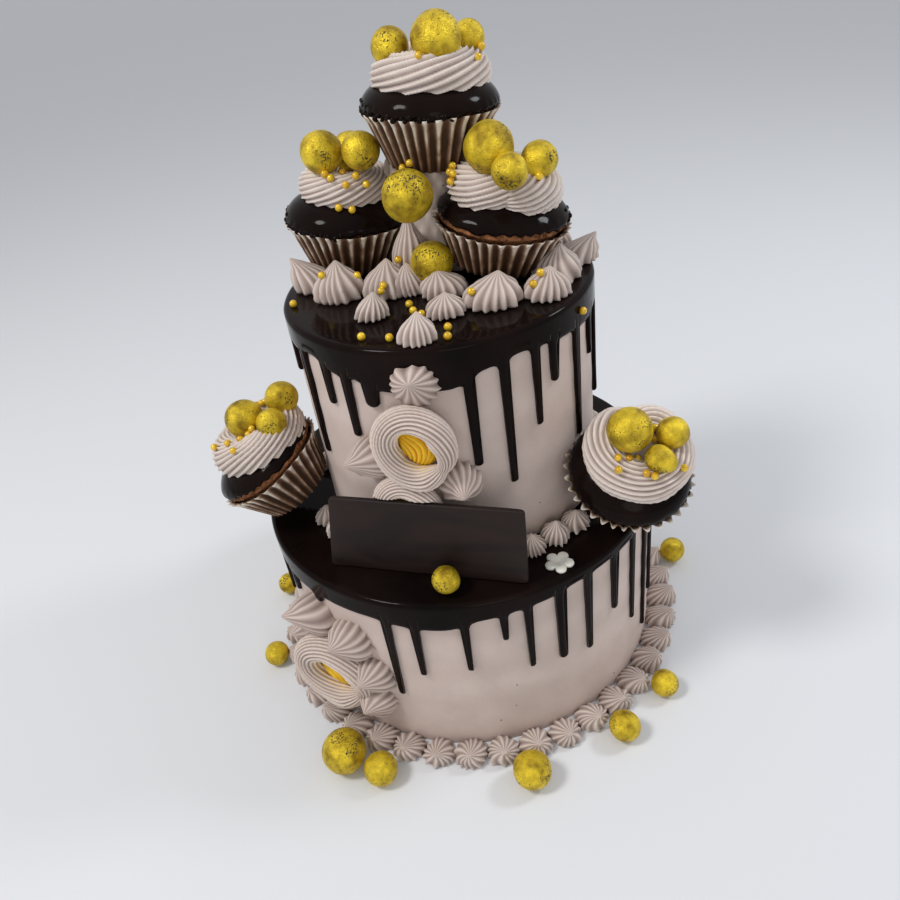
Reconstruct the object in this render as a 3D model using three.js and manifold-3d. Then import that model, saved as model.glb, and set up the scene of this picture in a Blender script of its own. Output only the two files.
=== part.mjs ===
// A two-tier celebration cake in buttercream with dark chocolate glaze running down both tiers.
// Three iced cupcakes stand on top, two more lean on the step, and piped stars, rosettes,
// gold-dusted truffle balls and sugar pearls dress it. Millimetres, +Z up, the origin on the
// axis of the lower tier at its flat underside. Azimuth 0 is +X, and the front is at -90.
import * as THREE from "three";
import { mergeVertices } from "three/addons/utils/BufferGeometryUtils.js";
import Module from "manifold-3d";

const wasm = await Module();
wasm.setup();

// Clearance that touching pieces keep.
const GAP = 0.3;

// The two tiers: radius and height of the cake itself, under the glaze.
const LOWER = { x: 0, y: 0, radius: 112.5, bottom: 0, top: 109.5 };
const UPPER = { x: 3.3, y: -0.8, radius: 78, bottom: 112.3, top: 231.7 };
const TIER_SIDES = 40;

// Chocolate glaze: thickness on the wall and on top, and the bevel of its rounded edge.
const GLAZE_WALL = 1.7;
const GLAZE_TOP = 2.2;
const GLAZE_EDGE = 2.4;
const DRIP_HALF_WIDTH = 2.3;
const WIDEST_FACET = 13;

// Cupcakes: pleated paper case, sponge, glaze over its dome, and a swirl of buttercream.
const PLEATS = 11;
const PLEAT_DEPTH = 1.1;
const PAPER = 0.8;
const CASE_HEIGHT = 26;
const CASE_TAPER = 11.5;
const DOME_HEIGHT = 14;
const DOME_INSET = 0.8;
const DOME_FROM = CASE_HEIGHT + 1;
const CUP_GLAZE = 1.8;
const CUP_SIDES = 13;
// The glaze on a dome ends this far above the sponge that shows, and swirls turn about a point
// this high.
const GLAZE_START = 0.4;
const SWIRL_PIVOT = 36;

// Small toppings. A pearl sinks into what it lies on, and faceted balls and their sockets are
// drawn larger than the round ones that they stand for.
const PEARL = 2.6;
const PEARL_RISE = 0.35;
const BALL_FULLNESS = 1.045;
const SOCKET_FULLNESS = 1.26;
const BORDER_STARS = 42;
const BORDER_RADIUS = 122.2;
const STEP_BORDER_RADIUS = 85.7;
// Border stars have three ridges and meet their neighbours ridge to groove.
const BORDER_STAR = { ridges: 3, start: Math.PI / 2 };

const buttercream = material(0xd9ccc8, 0.7);
const chocolate = material(0x1c1413, 0.12);
const sponge = material(0x5a3323, 0.9);
const paper = material(0xb9a28f, 0.75);
const gold = material(0xbfa02c, 0.4, 0.6);
const plaqueChocolate = material(0x2d2120, 0.55);
const sugar = material(0xe1e1d7, 0.6);

function material(color, roughness, metalness = 0) {
  return new THREE.MeshStandardMaterial({ color, roughness, metalness, flatShading: true });
}

const radians = THREE.MathUtils.degToRad;

// A geometry, placed by a matrix, as a manifold-3d solid.
function solid(geometry, matrix = new THREE.Matrix4()) {
  const bare = geometry.clone();
  bare.deleteAttribute("normal");
  bare.deleteAttribute("uv");
  bare.applyMatrix4(matrix);
  const merged = mergeVertices(bare, 1e-3);
  const mesh = new wasm.Mesh({
    numProp: 3,
    vertProperties: merged.attributes.position.array,
    triVerts: new Uint32Array(merged.index.array),
  });
  return new wasm.Manifold(mesh);
}

function join(solids) {
  return solids.reduce((whole, next) => whole.add(next));
}

// A body less its cutters. Crumbs that the cut leaves beside the main body are dropped.
function cut(body, cutters) {
  const rest = cutters.reduce((left, next) => left.subtract(next), body);
  const pieces = rest.decompose().sort((a, b) => b.volume() - a.volume());
  return pieces[0];
}

function geometryOf(body) {
  const mesh = body.getMesh();
  const count = mesh.numVert * 3;
  const positions = new Float32Array(count);
  for (let i = 0; i < mesh.numVert; i++) {
    const start = i * mesh.numProp;
    positions.set(mesh.vertProperties.subarray(start, start + 3), i * 3);
  }
  const geometry = new THREE.BufferGeometry();
  geometry.setAttribute("position", new THREE.BufferAttribute(positions, 3));
  geometry.setIndex(new THREE.BufferAttribute(new Uint32Array(mesh.triVerts), 1));
  return geometry;
}

// A closed skin over a stack of rings with the same number of points. Each ring is joined to
// the next, and the first and last are closed at their middles.
function stack(rings) {
  const count = rings[0].length;
  const points = rings.flat();
  const faces = [];
  for (let i = 0; i < rings.length - 1; i++) {
    for (let j = 0; j < count; j++) {
      const a = i * count + j;
      const b = i * count + ((j + 1) % count);
      faces.push(a, b, b + count, a, b + count, a + count);
    }
  }
  const middle = (ring) => {
    const sum = ring.reduce((total, point) => total.map((value, k) => value + point[k]), [0, 0, 0]);
    return sum.map((value) => value / ring.length);
  };
  const last = (rings.length - 1) * count;
  const bottom = points.push(middle(rings[0])) - 1;
  const top = points.push(middle(rings[rings.length - 1])) - 1;
  for (let j = 0; j < count; j++) {
    const next = (j + 1) % count;
    faces.push(bottom, next, j, top, last + j, last + next);
  }
  const geometry = new THREE.BufferGeometry();
  geometry.setAttribute("position", new THREE.Float32BufferAttribute(points.flat(), 3));
  geometry.setIndex(faces);
  return geometry;
}

// A profile of [radius, height] points turned about the Z axis.
function turned(profile, sides) {
  const points = profile.map(([radius, height]) => new THREE.Vector2(radius, height));
  return new THREE.LatheGeometry(points, sides).rotateX(Math.PI / 2);
}

// Buttercream from a star nozzle: rings of [radius, height] with ridges and grooves, each ring
// turned a little on the one below, drawn up to a point that may lean.
function piped({ profile, ridges, depth = 0.22, twist = 0, lean = [0, 0], start = 0 }) {
  const tip = profile[profile.length - 1];
  const rings = profile.slice(0, -1).map(([radius, height], i) => {
    const share = Math.max(0, height / tip[1]) ** 2;
    const groove = i === 0 ? depth / 2 : depth;
    return Array.from({ length: 2 * ridges }, (_, k) => {
      const angle = start + ((k + twist * i) * Math.PI) / ridges;
      const reach = radius * (k % 2 ? 1 - groove : 1);
      const x = reach * Math.cos(angle) + lean[0] * share;
      const y = reach * Math.sin(angle) + lean[1] * share;
      return [x, y, height];
    });
  });
  const geometry = stack(rings);
  const position = geometry.attributes.position;
  const tipIndex = position.count - 1;
  position.setXYZ(tipIndex, lean[0], lean[1], tip[1]);
  return geometry;
}

// A piped star: broad ridged foot, rounded shoulder and a pulled tip.
function star(radius, height, { ridges = 4, lean = [0, 0], foot = 0, start = 0 } = {}) {
  const profile = [
    [radius, foot],
    [radius * 0.7, height * 0.5],
    [0, height],
  ];
  return piped({ profile, ridges, lean, start });
}

// A piped rosette: a thick ring of folds round a sunken middle.
function rosette(radius, height, foot) {
  const profile = [
    [radius * 0.92, foot],
    [radius, height * 0.35],
    [radius * 0.72, height * 0.95],
    [radius * 0.42, height * 0.9],
    [0, height * 0.4],
  ];
  return piped({ profile, ridges: 6, twist: 0.7, depth: 0.14 });
}

// A ball whose faceted form holds as much as the round one.
function ball(radius, [x, y, z]) {
  return new THREE.IcosahedronGeometry(radius * BALL_FULLNESS, 1).translate(x, y, z);
}

// Room for a ball in the cream under it: a coarse shell that holds the ball everywhere.
function socket(radius, [x, y, z]) {
  return new THREE.IcosahedronGeometry(radius * SOCKET_FULLNESS + GAP, 0).translate(x, y, z);
}

function pearl(x, y, z) {
  return new THREE.OctahedronGeometry(PEARL).translate(x, y, z);
}

// A pearl pressed into the upper side of a body at x and y, or nothing where the body isn't.
function seatedPearl(body, x, y) {
  const thin = 0.2;
  const tall = 2000;
  const probe = solid(new THREE.BoxGeometry(thin, thin, tall).translate(x, y, 0));
  const under = probe.intersect(body);
  if (under.isEmpty()) return [];
  return [solid(pearl(x, y, under.boundingBox().max[2] + PEARL * PEARL_RISE))];
}

function at(x, y, z) {
  return new THREE.Matrix4().makeTranslation(x, y, z);
}

// The frame of something fixed to a tier's wall: its Z axis points out and its Y axis up.
function onWall(tier, azimuth, height, radius) {
  const angle = radians(azimuth);
  const out = new THREE.Vector3(Math.cos(angle), Math.sin(angle), 0);
  const up = new THREE.Vector3(0, 0, 1);
  const along = new THREE.Vector3().crossVectors(up, out);
  const frame = new THREE.Matrix4().makeBasis(along, up, out);
  const x = tier.x + radius * out.x;
  const y = tier.y + radius * out.y;
  return frame.setPosition(x, y, height);
}

// The frame of something that stands on the level at a height, at an azimuth from a tier's axis.
function onRing(tier, azimuth, height, radius) {
  const angle = radians(azimuth);
  const x = tier.x + radius * Math.cos(angle);
  const y = tier.y + radius * Math.sin(angle);
  return new THREE.Matrix4().makeRotationZ(angle).setPosition(x, y, height);
}

const cake = new THREE.Group();

function add(name, geometry, finish, parent = cake) {
  const mesh = new THREE.Mesh(geometry, finish);
  mesh.name = name;
  parent.add(mesh);
  return mesh;
}

// Tiers

function drum(tier, radius, top) {
  const profile = [
    [0, tier.bottom],
    [radius, tier.bottom],
    [radius, top],
    [0, top],
  ];
  return turned(profile, TIER_SIDES).translate(tier.x, tier.y, 0);
}

// What a piece on a tier's wall is cut away by: the tier and its clearance, drawn round its facets.
function tierCutter(tier) {
  const facing = Math.cos(Math.PI / TIER_SIDES);
  return solid(drum(tier, (tier.radius + GAP) / facing, tier.top + GAP));
}

add("lower_tier", drum(LOWER, LOWER.radius, LOWER.top), buttercream);
add("upper_tier", drum(UPPER, UPPER.radius, UPPER.top), buttercream);

// Glaze: a sheet on top of the tier and a skirt on its wall that ends in drips. A drip is
// [azimuth, height of its tip, width factor, height of the skirt's edge from it to the next].
const upperFrontDrips = [
  [-152, 162, 1, 223],
  [-138, 199, 1, 217],
  [-128.6, 184, 1.1, 217],
  [-119, 203, 1.6, 212],
  [-85, 168, 1.1, 219],
  [-72.7, 153, 1.2, 222],
  [-60.4, 180, 1, 221],
  [-51.9, 199, 1, 219],
  [-38.7, 158, 1, 217],
  [-26, 196, 1, 218],
  [-14.7, 165, 1, 219],
];
const lowerFrontDrips = [
  [-151, 84, 1.1, 97],
  [-138, 92, 1.4, 98],
  [-115, 40, 1, 95.5],
  [-107.3, 59, 1, 94],
  [-94.2, 63, 1, 99],
  [-84.2, 82, 0.9, 100.5],
  [-77.9, 57, 1, 101.5],
  [-68.5, 54, 1.1, 104],
  [-59.8, 50, 1, 104.5],
  [-49.4, 65, 1, 104],
  [-40, 41, 0.8, 103],
  [-31, 18, 0.8, 102],
  [-22, 31, 1, 100],
];

// Drips on the side that faces away go on in the same way, of uneven length.
function furtherDrips(first, last, count, longest, shortest, edge) {
  return Array.from({ length: count }, (_, k) => {
    const azimuth = THREE.MathUtils.lerp(first, last, (k + 0.22 * Math.sin(5 * k)) / (count - 1));
    const length = 0.5 + 0.5 * Math.sin(2.4 * k + 1);
    const tip = THREE.MathUtils.lerp(longest, shortest, length);
    return [azimuth, tip, 1, edge + 2.5 * Math.sin(1.9 * k)];
  });
}

const upperDrips = [...upperFrontDrips, ...furtherDrips(1, 191, 9, 156, 204, 219)];
const lowerDrips = [...lowerFrontDrips, ...furtherDrips(-8, 193, 11, 34, 86, 99)];

function glaze(tier, drips, grow = 0) {
  const outer = tier.radius + GAP + GLAZE_WALL + grow;
  const top = tier.top + GAP + GLAZE_TOP + grow;
  const columns = drips.flatMap(([azimuth, tip, width, after], k) => {
    const half = THREE.MathUtils.radToDeg((DRIP_HALF_WIDTH * width + grow) / outer);
    const before = drips.at(k - 1)[3];
    const following = k + 1 < drips.length ? drips[k + 1][0] : drips[0][0] + 360;
    const wide = Math.max(0, Math.ceil((following - azimuth) / WIDEST_FACET) - 1);
    const between = Array.from({ length: wide }, (_, n) => [
      THREE.MathUtils.lerp(azimuth, following, (n + 1) / (wide + 1)),
      after - grow,
    ]);
    return [
      [azimuth - 1.25 * half, before - grow],
      [azimuth - 0.6 * half, tip - grow],
      [azimuth + 0.6 * half, tip - grow],
      [azimuth + 1.25 * half, after - grow],
      ...between,
    ];
  });
  const ring = (radius, height) =>
    columns.map(([azimuth, low]) => {
      const angle = radians(azimuth);
      const z = height === null ? low : height;
      return [tier.x + radius * Math.cos(angle), tier.y + radius * Math.sin(angle), z];
    });
  // The cutter made by growing it reaches into the tier, so that nothing is left between them.
  const inside = tier.radius - DRIP_HALF_WIDTH;
  const inner = grow ? inside : (tier.radius + GAP) / Math.cos(radians(WIDEST_FACET / 2));
  return stack([
    ring(inner, tier.top + GAP - grow),
    ring(inner, null),
    ring(outer, null),
    ring(outer, top - GLAZE_EDGE),
    ring(outer - GLAZE_EDGE, top),
  ]);
}

const upperGlazeTop = UPPER.top + GAP + GLAZE_TOP;
const lowerGlazeTop = LOWER.top + GAP + GLAZE_TOP;

// Pearls that lie on the upper tier's glaze, as x and y.
const glazePearls = [
  [-70, -12],
  [-34.6, -61.3],
  [-21.9, -66.5],
  [-11.8, -33.6],
  [-10.2, -41.6],
  [-6.4, -47],
  [4.6, -64.4],
  [3.8, -73.5],
];
const upperGlaze = join([
  solid(glaze(UPPER, upperDrips)),
  ...glazePearls.map(([x, y]) => solid(pearl(x, y, upperGlazeTop + PEARL * 0.6))),
]);
add("upper_glaze", geometryOf(upperGlaze), chocolate);
add("lower_glaze", glaze(LOWER, lowerDrips), chocolate);

// Cupcakes. base is the middle of the underside, tilt leans the axis towards an azimuth, rim
// is the case's radius at its rim, foot is the height at which the paper starts, and bare is
// how much sponge shows over the rim. The swirl sits at shift on the dome, turned about Y by
// turn. Balls are [x, y, z, radius] and pearls [x, y], all in the cupcake's own frame.
const cupcakes = [
  {
    base: [10, 20, 286],
    tilt: 4.5,
    towards: 0,
    rim: 32.5,
    foot: 0,
    bare: 0,
    swirl: { radius: 29.5, shift: [0.5, 0], turn: 0, top: 52.2 },
    balls: [
      [-17, -5, 52.7, 8.6],
      [3.7, -12, 55.8, 11.4],
      [19.3, 2.4, 53.8, 7.8],
    ],
    pearls: [
      [-9, -20],
      [18, -16],
      [26, -6],
    ],
  },
  {
    base: [-41, 31, 236],
    tilt: 6.5,
    towards: -10,
    rim: 31.5,
    foot: 1.2,
    bare: 0,
    swirl: { radius: 25, shift: [0, 0], turn: 0, top: 53 },
    balls: [
      [-9.9, -9.8, 61.7, 10.3],
      [9.7, -15.4, 63.2, 9.2],
      [3.8, 12.1, 55.8, 10],
    ],
    pearls: [
      [-13, -15],
      [-7, -20],
      [1, -18],
      [7, -22],
      [13, -17],
    ],
  },
  {
    base: [35, -1, 234.8],
    tilt: 10.5,
    towards: -22,
    rim: 32.5,
    foot: 4.2,
    bare: 3,
    swirl: { radius: 28.5, shift: [0, 0], turn: 0, top: 53 },
    balls: [
      [-10.7, -9.5, 62.2, 11.6],
      [-3.3, -27.6, 57.7, 8.1],
      [13.1, -10.1, 57.8, 8.5],
    ],
    pearls: [
      [-26, 2],
      [-25, -4],
      [-26, -9],
      [19, -9],
    ],
  },
  {
    base: [-91, -19, 126.5],
    tilt: 30,
    towards: 177,
    rim: 31,
    foot: 2.5,
    bare: 3,
    swirl: { radius: 28, shift: [5, 0], turn: 12, top: 51 },
    balls: [
      [9, -0.6, 53.9, 10.2],
      [29.4, 7.5, 48, 9],
      [23.1, -10.4, 45.9, 8.1],
    ],
    pearls: [
      [17, 4],
      [15, 8],
      [-6, 2],
      [8, -15],
      [2, -15],
      [-4, -12],
      [-4, -18],
      [-18, -12],
    ],
  },
  {
    base: [83.2, -58.6, 121.4],
    tilt: 27.5,
    towards: -80,
    rim: 29.5,
    foot: 1.6,
    bare: 0,
    swirl: { radius: 27.5, shift: [1.5, 2.5], turn: 0, top: 54 },
    balls: [
      [-6.3, 4.4, 61.4, 10.8],
      [15, 3, 57.5, 7.8],
      [5.3, -9.4, 57, 6.5],
    ],
    pearls: [
      [-12, -5.3],
      [-7, -7.5],
      [-3, -9],
      [-13.3, -11.7],
      [0, -15],
      [4, -18],
      [17.9, -13],
    ],
  },
];

// Quarter of an ellipse over the dome's edge, as [radius, height] points that start where it
// has risen by a given height.
function dome(grow, rim, risen = 0) {
  const radius = rim - DOME_INSET + grow;
  const height = DOME_HEIGHT + grow;
  const first = THREE.MathUtils.radToDeg(Math.asin(risen / height));
  return [first, 40, 90].map((angle) => {
    const x = angle === 90 ? 0 : radius * Math.cos(radians(angle));
    return [x, DOME_FROM + height * Math.sin(radians(angle))];
  });
}

function caseGeometry({ rim, foot }) {
  const pleated = (radius, height) =>
    Array.from({ length: 2 * PLEATS }, (_, k) => {
      const angle = (k * Math.PI) / PLEATS;
      const reach = radius + (k % 2 ? -PLEAT_DEPTH : PLEAT_DEPTH);
      return [reach * Math.cos(angle), reach * Math.sin(angle), height];
    });
  const base = rim - CASE_TAPER * (1 - foot / CASE_HEIGHT);
  return stack([
    pleated(base, foot),
    pleated(rim, CASE_HEIGHT),
    pleated(rim - PAPER, CASE_HEIGHT),
    pleated(base - PAPER, foot + PAPER),
  ]);
}

function spongeGeometry({ rim, foot }) {
  const slack = PAPER + PLEAT_DEPTH + 1.7 * GAP;
  const base = rim - CASE_TAPER * (1 - foot / CASE_HEIGHT);
  const profile = [
    [0, foot + PAPER + GAP],
    [base - slack, foot + PAPER + GAP],
    [rim - slack, CASE_HEIGHT + GAP],
    ...dome(0, rim),
  ];
  return turned(profile, CUP_SIDES);
}

function cupGlazeGeometry({ rim, bare }) {
  const under = dome(GAP, rim, bare + GLAZE_START).reverse();
  const over = dome(GAP + CUP_GLAZE, rim, bare + GLAZE_START);
  return turned([...under, ...over], CUP_SIDES);
}

// What the swirl of a cupcake is cut away by underneath.
function domeCutter({ rim, bare }) {
  const grow = CUP_GLAZE + 2 * GAP;
  const [edge, ...rest] = dome(grow, rim, bare + GLAZE_START);
  const below = CASE_HEIGHT - 8;
  return turned([[0, below], [edge[0], below], edge, ...rest], CUP_SIDES);
}

// The outline that neighbours keep clear of.
function cupEnvelope({ rim, foot }) {
  const reach = PLEAT_DEPTH + 4 * GAP;
  const shoulderRise = 8;
  const base = rim - CASE_TAPER * (1 - foot / CASE_HEIGHT);
  const [shoulder, ...rest] = dome(reach + CUP_GLAZE, rim, shoulderRise);
  const profile = [
    [0, foot - GAP],
    [base + reach, foot - GAP],
    [rim + reach, CASE_HEIGHT - 1],
    [rim + reach, DOME_FROM + 5],
    shoulder,
    ...rest,
  ];
  return turned(profile, CUP_SIDES);
}

function swirlGeometry({ radius, shift, turn, top }) {
  const profile = [
    [radius * 0.9, 31],
    [radius, 41],
    [radius * 0.62, top],
    [0, top - 7],
  ];
  const geometry = piped({ profile, ridges: 7, depth: 0.1, twist: 0.8 });
  geometry.translate(0, 0, -SWIRL_PIVOT).rotateY(radians(turn));
  return geometry.translate(shift[0], shift[1], SWIRL_PIVOT);
}

const up = new THREE.Vector3(0, 0, 1);
const groups = cupcakes.map(({ base, tilt, towards }) => {
  const group = new THREE.Group();
  const lean = Math.sin(radians(tilt));
  const x = lean * Math.cos(radians(towards));
  const y = lean * Math.sin(radians(towards));
  const axis = new THREE.Vector3(x, y, Math.cos(radians(tilt)));
  group.position.set(...base);
  group.quaternion.setFromUnitVectors(up, axis);
  group.updateMatrix();
  cake.add(group);
  return group;
});

function cupCutter(index) {
  return solid(cupEnvelope(cupcakes[index]), groups[index].matrix);
}

function ballSockets(index) {
  const { balls } = cupcakes[index];
  return balls.map(([x, y, z, radius]) => solid(socket(radius, [x, y, z]), groups[index].matrix));
}

cupcakes.forEach((cupcake, index) => {
  const { swirl, balls, pearls } = cupcake;
  const group = groups[index];
  const name = `cupcake_${index + 1}`;
  add(`${name}_case`, caseGeometry(cupcake), paper, group);
  add(`${name}_sponge`, spongeGeometry(cupcake), sponge, group);
  add(`${name}_glaze`, cupGlazeGeometry(cupcake), chocolate, group);
  balls.forEach(([x, y, z, radius], k) => {
    add(`${name}_ball_${k + 1}`, ball(radius, [x, y, z]), gold, group);
  });
  const sockets = balls.map(([x, y, z, radius]) => solid(socket(radius, [x, y, z])));
  const cutters = [solid(domeCutter(cupcake))];
  // The first cupcake is pressed down between the swirls of the second and the third.
  if (index === 1 || index === 2) {
    const above = group.matrix.clone().invert().multiply(groups[0].matrix);
    cutters.push(solid(cupEnvelope(cupcakes[0]), above));
  }
  const bare = cut(solid(swirlGeometry(swirl)), cutters);
  const seated = pearls.flatMap(([x, y]) => seatedPearl(bare, x, y));
  const cream = cut(join([bare, ...seated]), sockets);
  add(`${name}_cream`, geometryOf(cream), buttercream, group);
});

// Cream on the upper tier: stars as [x, y, foot radius, height, lean x, lean y] round the
// cupcakes, a mound that the top cupcake stands on, and a ring of stars round the back.
const topLevel = upperGlazeTop + GAP;
const frontStars = [
  [-59.5, 8, 12.5, 15, -11, 7],
  [-46, -8.5, 14.5, 17, 0, 5],
  [-22.5, -12.6, 13, 16, 2, 4],
  [-11, -15.2, 10, 14, 0, 2],
  [-8, 0, 11, 33, 1, 0],
  [6, -23, 13, 12, -3, 1],
  [5.2, -46.5, 10.5, 10, 0, 0],
  [27.5, -42, 15.6, 13.5, 4, 3],
  [52.5, -43, 12, 12.5, 3, 3],
  [62, -24, 13, 15, 2, 4],
  [74, -6, 12.2, 11, 12, 5],
];
const looseStars = [
  [-29.8, -38, 8.8, 11, 2, 2],
  [-9.3, -70.5, 9.6, 12.5, 1, 2],
];
const backStarAzimuths = Array.from({ length: 9 }, (_, k) => 13 + 17.6 * k);
const BACK_STAR_RADIUS = 65;

function standingStar([x, y, radius, height, leanX, leanY]) {
  return solid(star(radius, height, { lean: [leanX, leanY] }), at(x, y, topLevel));
}

const backStars = backStarAzimuths.map((azimuth, k) => {
  const size = 11.6 + 0.6 * Math.sin(2.1 * k);
  const place = onRing(UPPER, azimuth, topLevel, BACK_STAR_RADIUS);
  return solid(star(size, 14, { ridges: 3, lean: [-2, 0] }), place);
});

const moundProfile = [
  [25, 0],
  [20, 30],
  [24, 50],
  [22, 55],
  [0, 56],
];
const moundShape = { profile: moundProfile, ridges: 5, depth: 0.12, twist: 0.9 };
const mound = solid(piped(moundShape), at(8, 25, topLevel));

const centreBalls = [
  [-5, -15, 281.2, 12],
  [1.9, -13, 246.6, 10.5],
];
// Pearls on this cream, as x and y.
const creamPearls = [
  [-59.5, 16.5],
  [-38, 10],
  [-24.7, -7],
  [-25.8, -15.5],
  [18.8, -32.6],
  [48.5, -36],
  [54.3, -21],
];

// Room for the swirl of a cupcake in the cream beside it.
function swirlClearance(index) {
  const { swirl } = cupcakes[index];
  const roomy = { ...swirl, radius: swirl.radius + 2 * GAP, top: swirl.top + GAP };
  return solid(swirlGeometry(roomy), groups[index].matrix);
}

const topCream = cut(join([mound, ...frontStars.map(standingStar), ...backStars]), [
  cupCutter(0),
  cupCutter(1),
  cupCutter(2),
  ...ballSockets(1),
  ...centreBalls.map(([x, y, z, radius]) => solid(socket(radius, [x, y, z]))),
  swirlClearance(1),
  swirlClearance(2),
]);
const topPearls = creamPearls.flatMap(([x, y]) => seatedPearl(topCream, x, y));
add("top_cream", geometryOf(join([topCream, ...topPearls])), buttercream);
looseStars.forEach((one, k) => add(`top_star_${k + 1}`, geometryOf(standingStar(one)), buttercream));
centreBalls.forEach(([x, y, z, radius], k) => {
  add(`centre_ball_${k + 1}`, ball(radius, [x, y, z]), gold);
});

// Rosettes on a wall are [azimuth, height, radius, depth out from the wall, turn to the side],
// and stars are [azimuth, height, radius, depth, lean along the wall, lean up].
const ROSETTE_FOOT = -5;
const STAR_FOOT = -2;
const wallRosettes = [
  [-104.7, 186, 23.5, 15, 0],
  [-111, 147.5, 21, 12, 0],
];
const wallStars = [
  [-102.7, 216, 12.5, 12, 0, 5],
  [-122.5, 174, 12.5, 15, -9, 2],
  [-92.5, 161, 12, 13, 1, -2],
];
const sideRosettes = [[-136, 45, 27.5, 16, 17]];
const sideStars = [
  [-140.5, 80, 14.5, 19, -8, 6],
  [-128, 74, 14.5, 15, -4.5, 2],
  [-122.5, 51.5, 13, 13, -4, 0],
  [-124, 29, 13, 13, -2, -1],
  [-148.5, 60, 12.5, 14, -3, -3],
  [-149, 33, 13, 14, 0, 0],
];

function wallCream(tier, rosettes, stars, cutters) {
  const folds = rosettes.map(([azimuth, height, radius, depth, turn]) =>
    solid(
      rosette(radius, depth, ROSETTE_FOOT).rotateY(radians(turn)),
      onWall(tier, azimuth, height, tier.radius),
    ),
  );
  const points = stars.map(([azimuth, height, radius, depth, leanX, leanY]) =>
    solid(
      star(radius, depth, { lean: [leanX, leanY], foot: STAR_FOOT }),
      onWall(tier, azimuth, height, tier.radius),
    ),
  );
  return cut(join([...folds, ...points]), cutters);
}

// The plaque: a plain sheet of dark chocolate that stands on the step and leans back. It was cut
// by hand, so its ends lie at slightly different places at the foot and at the top.
const PLAQUE = { height: 43.5, thickness: 3.2, turn: -19.5, lean: 4 };
const PLAQUE_LEFT = { foot: -52.7, top: -46.5 };
const PLAQUE_RIGHT = { foot: 52.7, top: 53 };
const plaqueFoot = [-24, -89.2, lowerGlazeTop + GAP];

// The sheet, or the room it needs with everything in front of it up to a reach.
function plaqueGeometry(grow = 0, reach = 0) {
  const { height, thickness, turn, lean } = PLAQUE;
  const deep = thickness + 2 * grow + reach;
  const geometry = new THREE.BoxGeometry(2, deep, height + 2 * grow);
  const corners = geometry.attributes.position;
  for (let i = 0; i < corners.count; i += 1) {
    const side = corners.getX(i);
    const end = side < 0 ? PLAQUE_LEFT : PLAQUE_RIGHT;
    corners.setX(i, (corners.getZ(i) < 0 ? end.foot : end.top) + side * grow);
  }
  geometry.translate(0, (thickness - reach) / 2, height / 2 + thickness * Math.sin(radians(lean)));
  return geometry.rotateX(-radians(lean)).rotateZ(radians(turn)).translate(...plaqueFoot);
}

add("chocolate_plaque", plaqueGeometry(), plaqueChocolate);

const upperWall = tierCutter(UPPER);
const lowerWall = tierCutter(LOWER);
const upperGlazeCutter = solid(glaze(UPPER, upperDrips, GAP));
const lowerGlazeCutter = solid(glaze(LOWER, lowerDrips, GAP));
const FRONT_OF_PLAQUE = 20;
const plaqueCutter = solid(plaqueGeometry(GAP, FRONT_OF_PLAQUE));
const wallFlower = wallCream(UPPER, wallRosettes, wallStars, [
  upperWall,
  upperGlazeCutter,
  plaqueCutter,
]);
add("wall_rosettes", geometryOf(wallFlower), buttercream);

// Gold balls on the step and round the foot, as [azimuth, distance from the axis, radius]. They
// rest a hair above the level, so that the flat underside of the cake is what it stands on.
const ABOVE_LEVEL = 0.05;
const STEP_BALL = { x: -14, y: -102.6, radius: 7 };
const stepBallHeight = lowerGlazeTop + GAP + STEP_BALL.radius * BALL_FULLNESS + ABOVE_LEVEL;
const stepBallPlace = [STEP_BALL.x, STEP_BALL.y, stepBallHeight];
add("step_ball", ball(STEP_BALL.radius, stepBallPlace), gold);

const footBalls = [
  [-127, 142.5, 12.2],
  [-117.6, 142, 9.2],
  [-83.7, 141, 10.2],
  [-59.9, 139.6, 8.5],
  [-44, 138.6, 7.7],
  [4.4, 138, 8.2],
  [-167.2, 137.2, 7.6],
  [165.4, 136.5, 7.2],
];
const footBallPlaces = footBalls.map(([azimuth, distance, radius]) => {
  const angle = radians(azimuth);
  const height = radius * BALL_FULLNESS + ABOVE_LEVEL;
  return [distance * Math.cos(angle), distance * Math.sin(angle), height];
});
footBalls.forEach(([, , radius], k) => add(`foot_ball_${k + 1}`, ball(radius, footBallPlaces[k]), gold));
const footBallSockets = footBalls.map(([, , radius], k) => solid(socket(radius, footBallPlaces[k])));

// The border round the foot of the lower tier: stars side by side, tips drawn out and up.
function borderStar(k, grow = 0) {
  const azimuth = -89 + (360 / BORDER_STARS) * k;
  const size = 10.3 + 0.2 * Math.sin(1.7 * k) + grow;
  const height = 11.5 + Math.sin(2.3 * k) + grow;
  const place = onRing(LOWER, azimuth, 0, BORDER_RADIUS);
  return solid(star(size, height, { ...BORDER_STAR, lean: [8, 0] }), place);
}

const borderPlaces = Array.from({ length: BORDER_STARS }, (_, k) => k);
const border = cut(join(borderPlaces.map((k) => borderStar(k))), footBallSockets);
add("foot_border", geometryOf(border), buttercream);

const sideFlower = wallCream(LOWER, sideRosettes, sideStars, [
  lowerWall,
  lowerGlazeCutter,
  ...borderPlaces.map((k) => borderStar(k, 2 * GAP)),
  ...footBallSockets,
]);
add("side_rosettes", geometryOf(sideFlower), buttercream);

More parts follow.
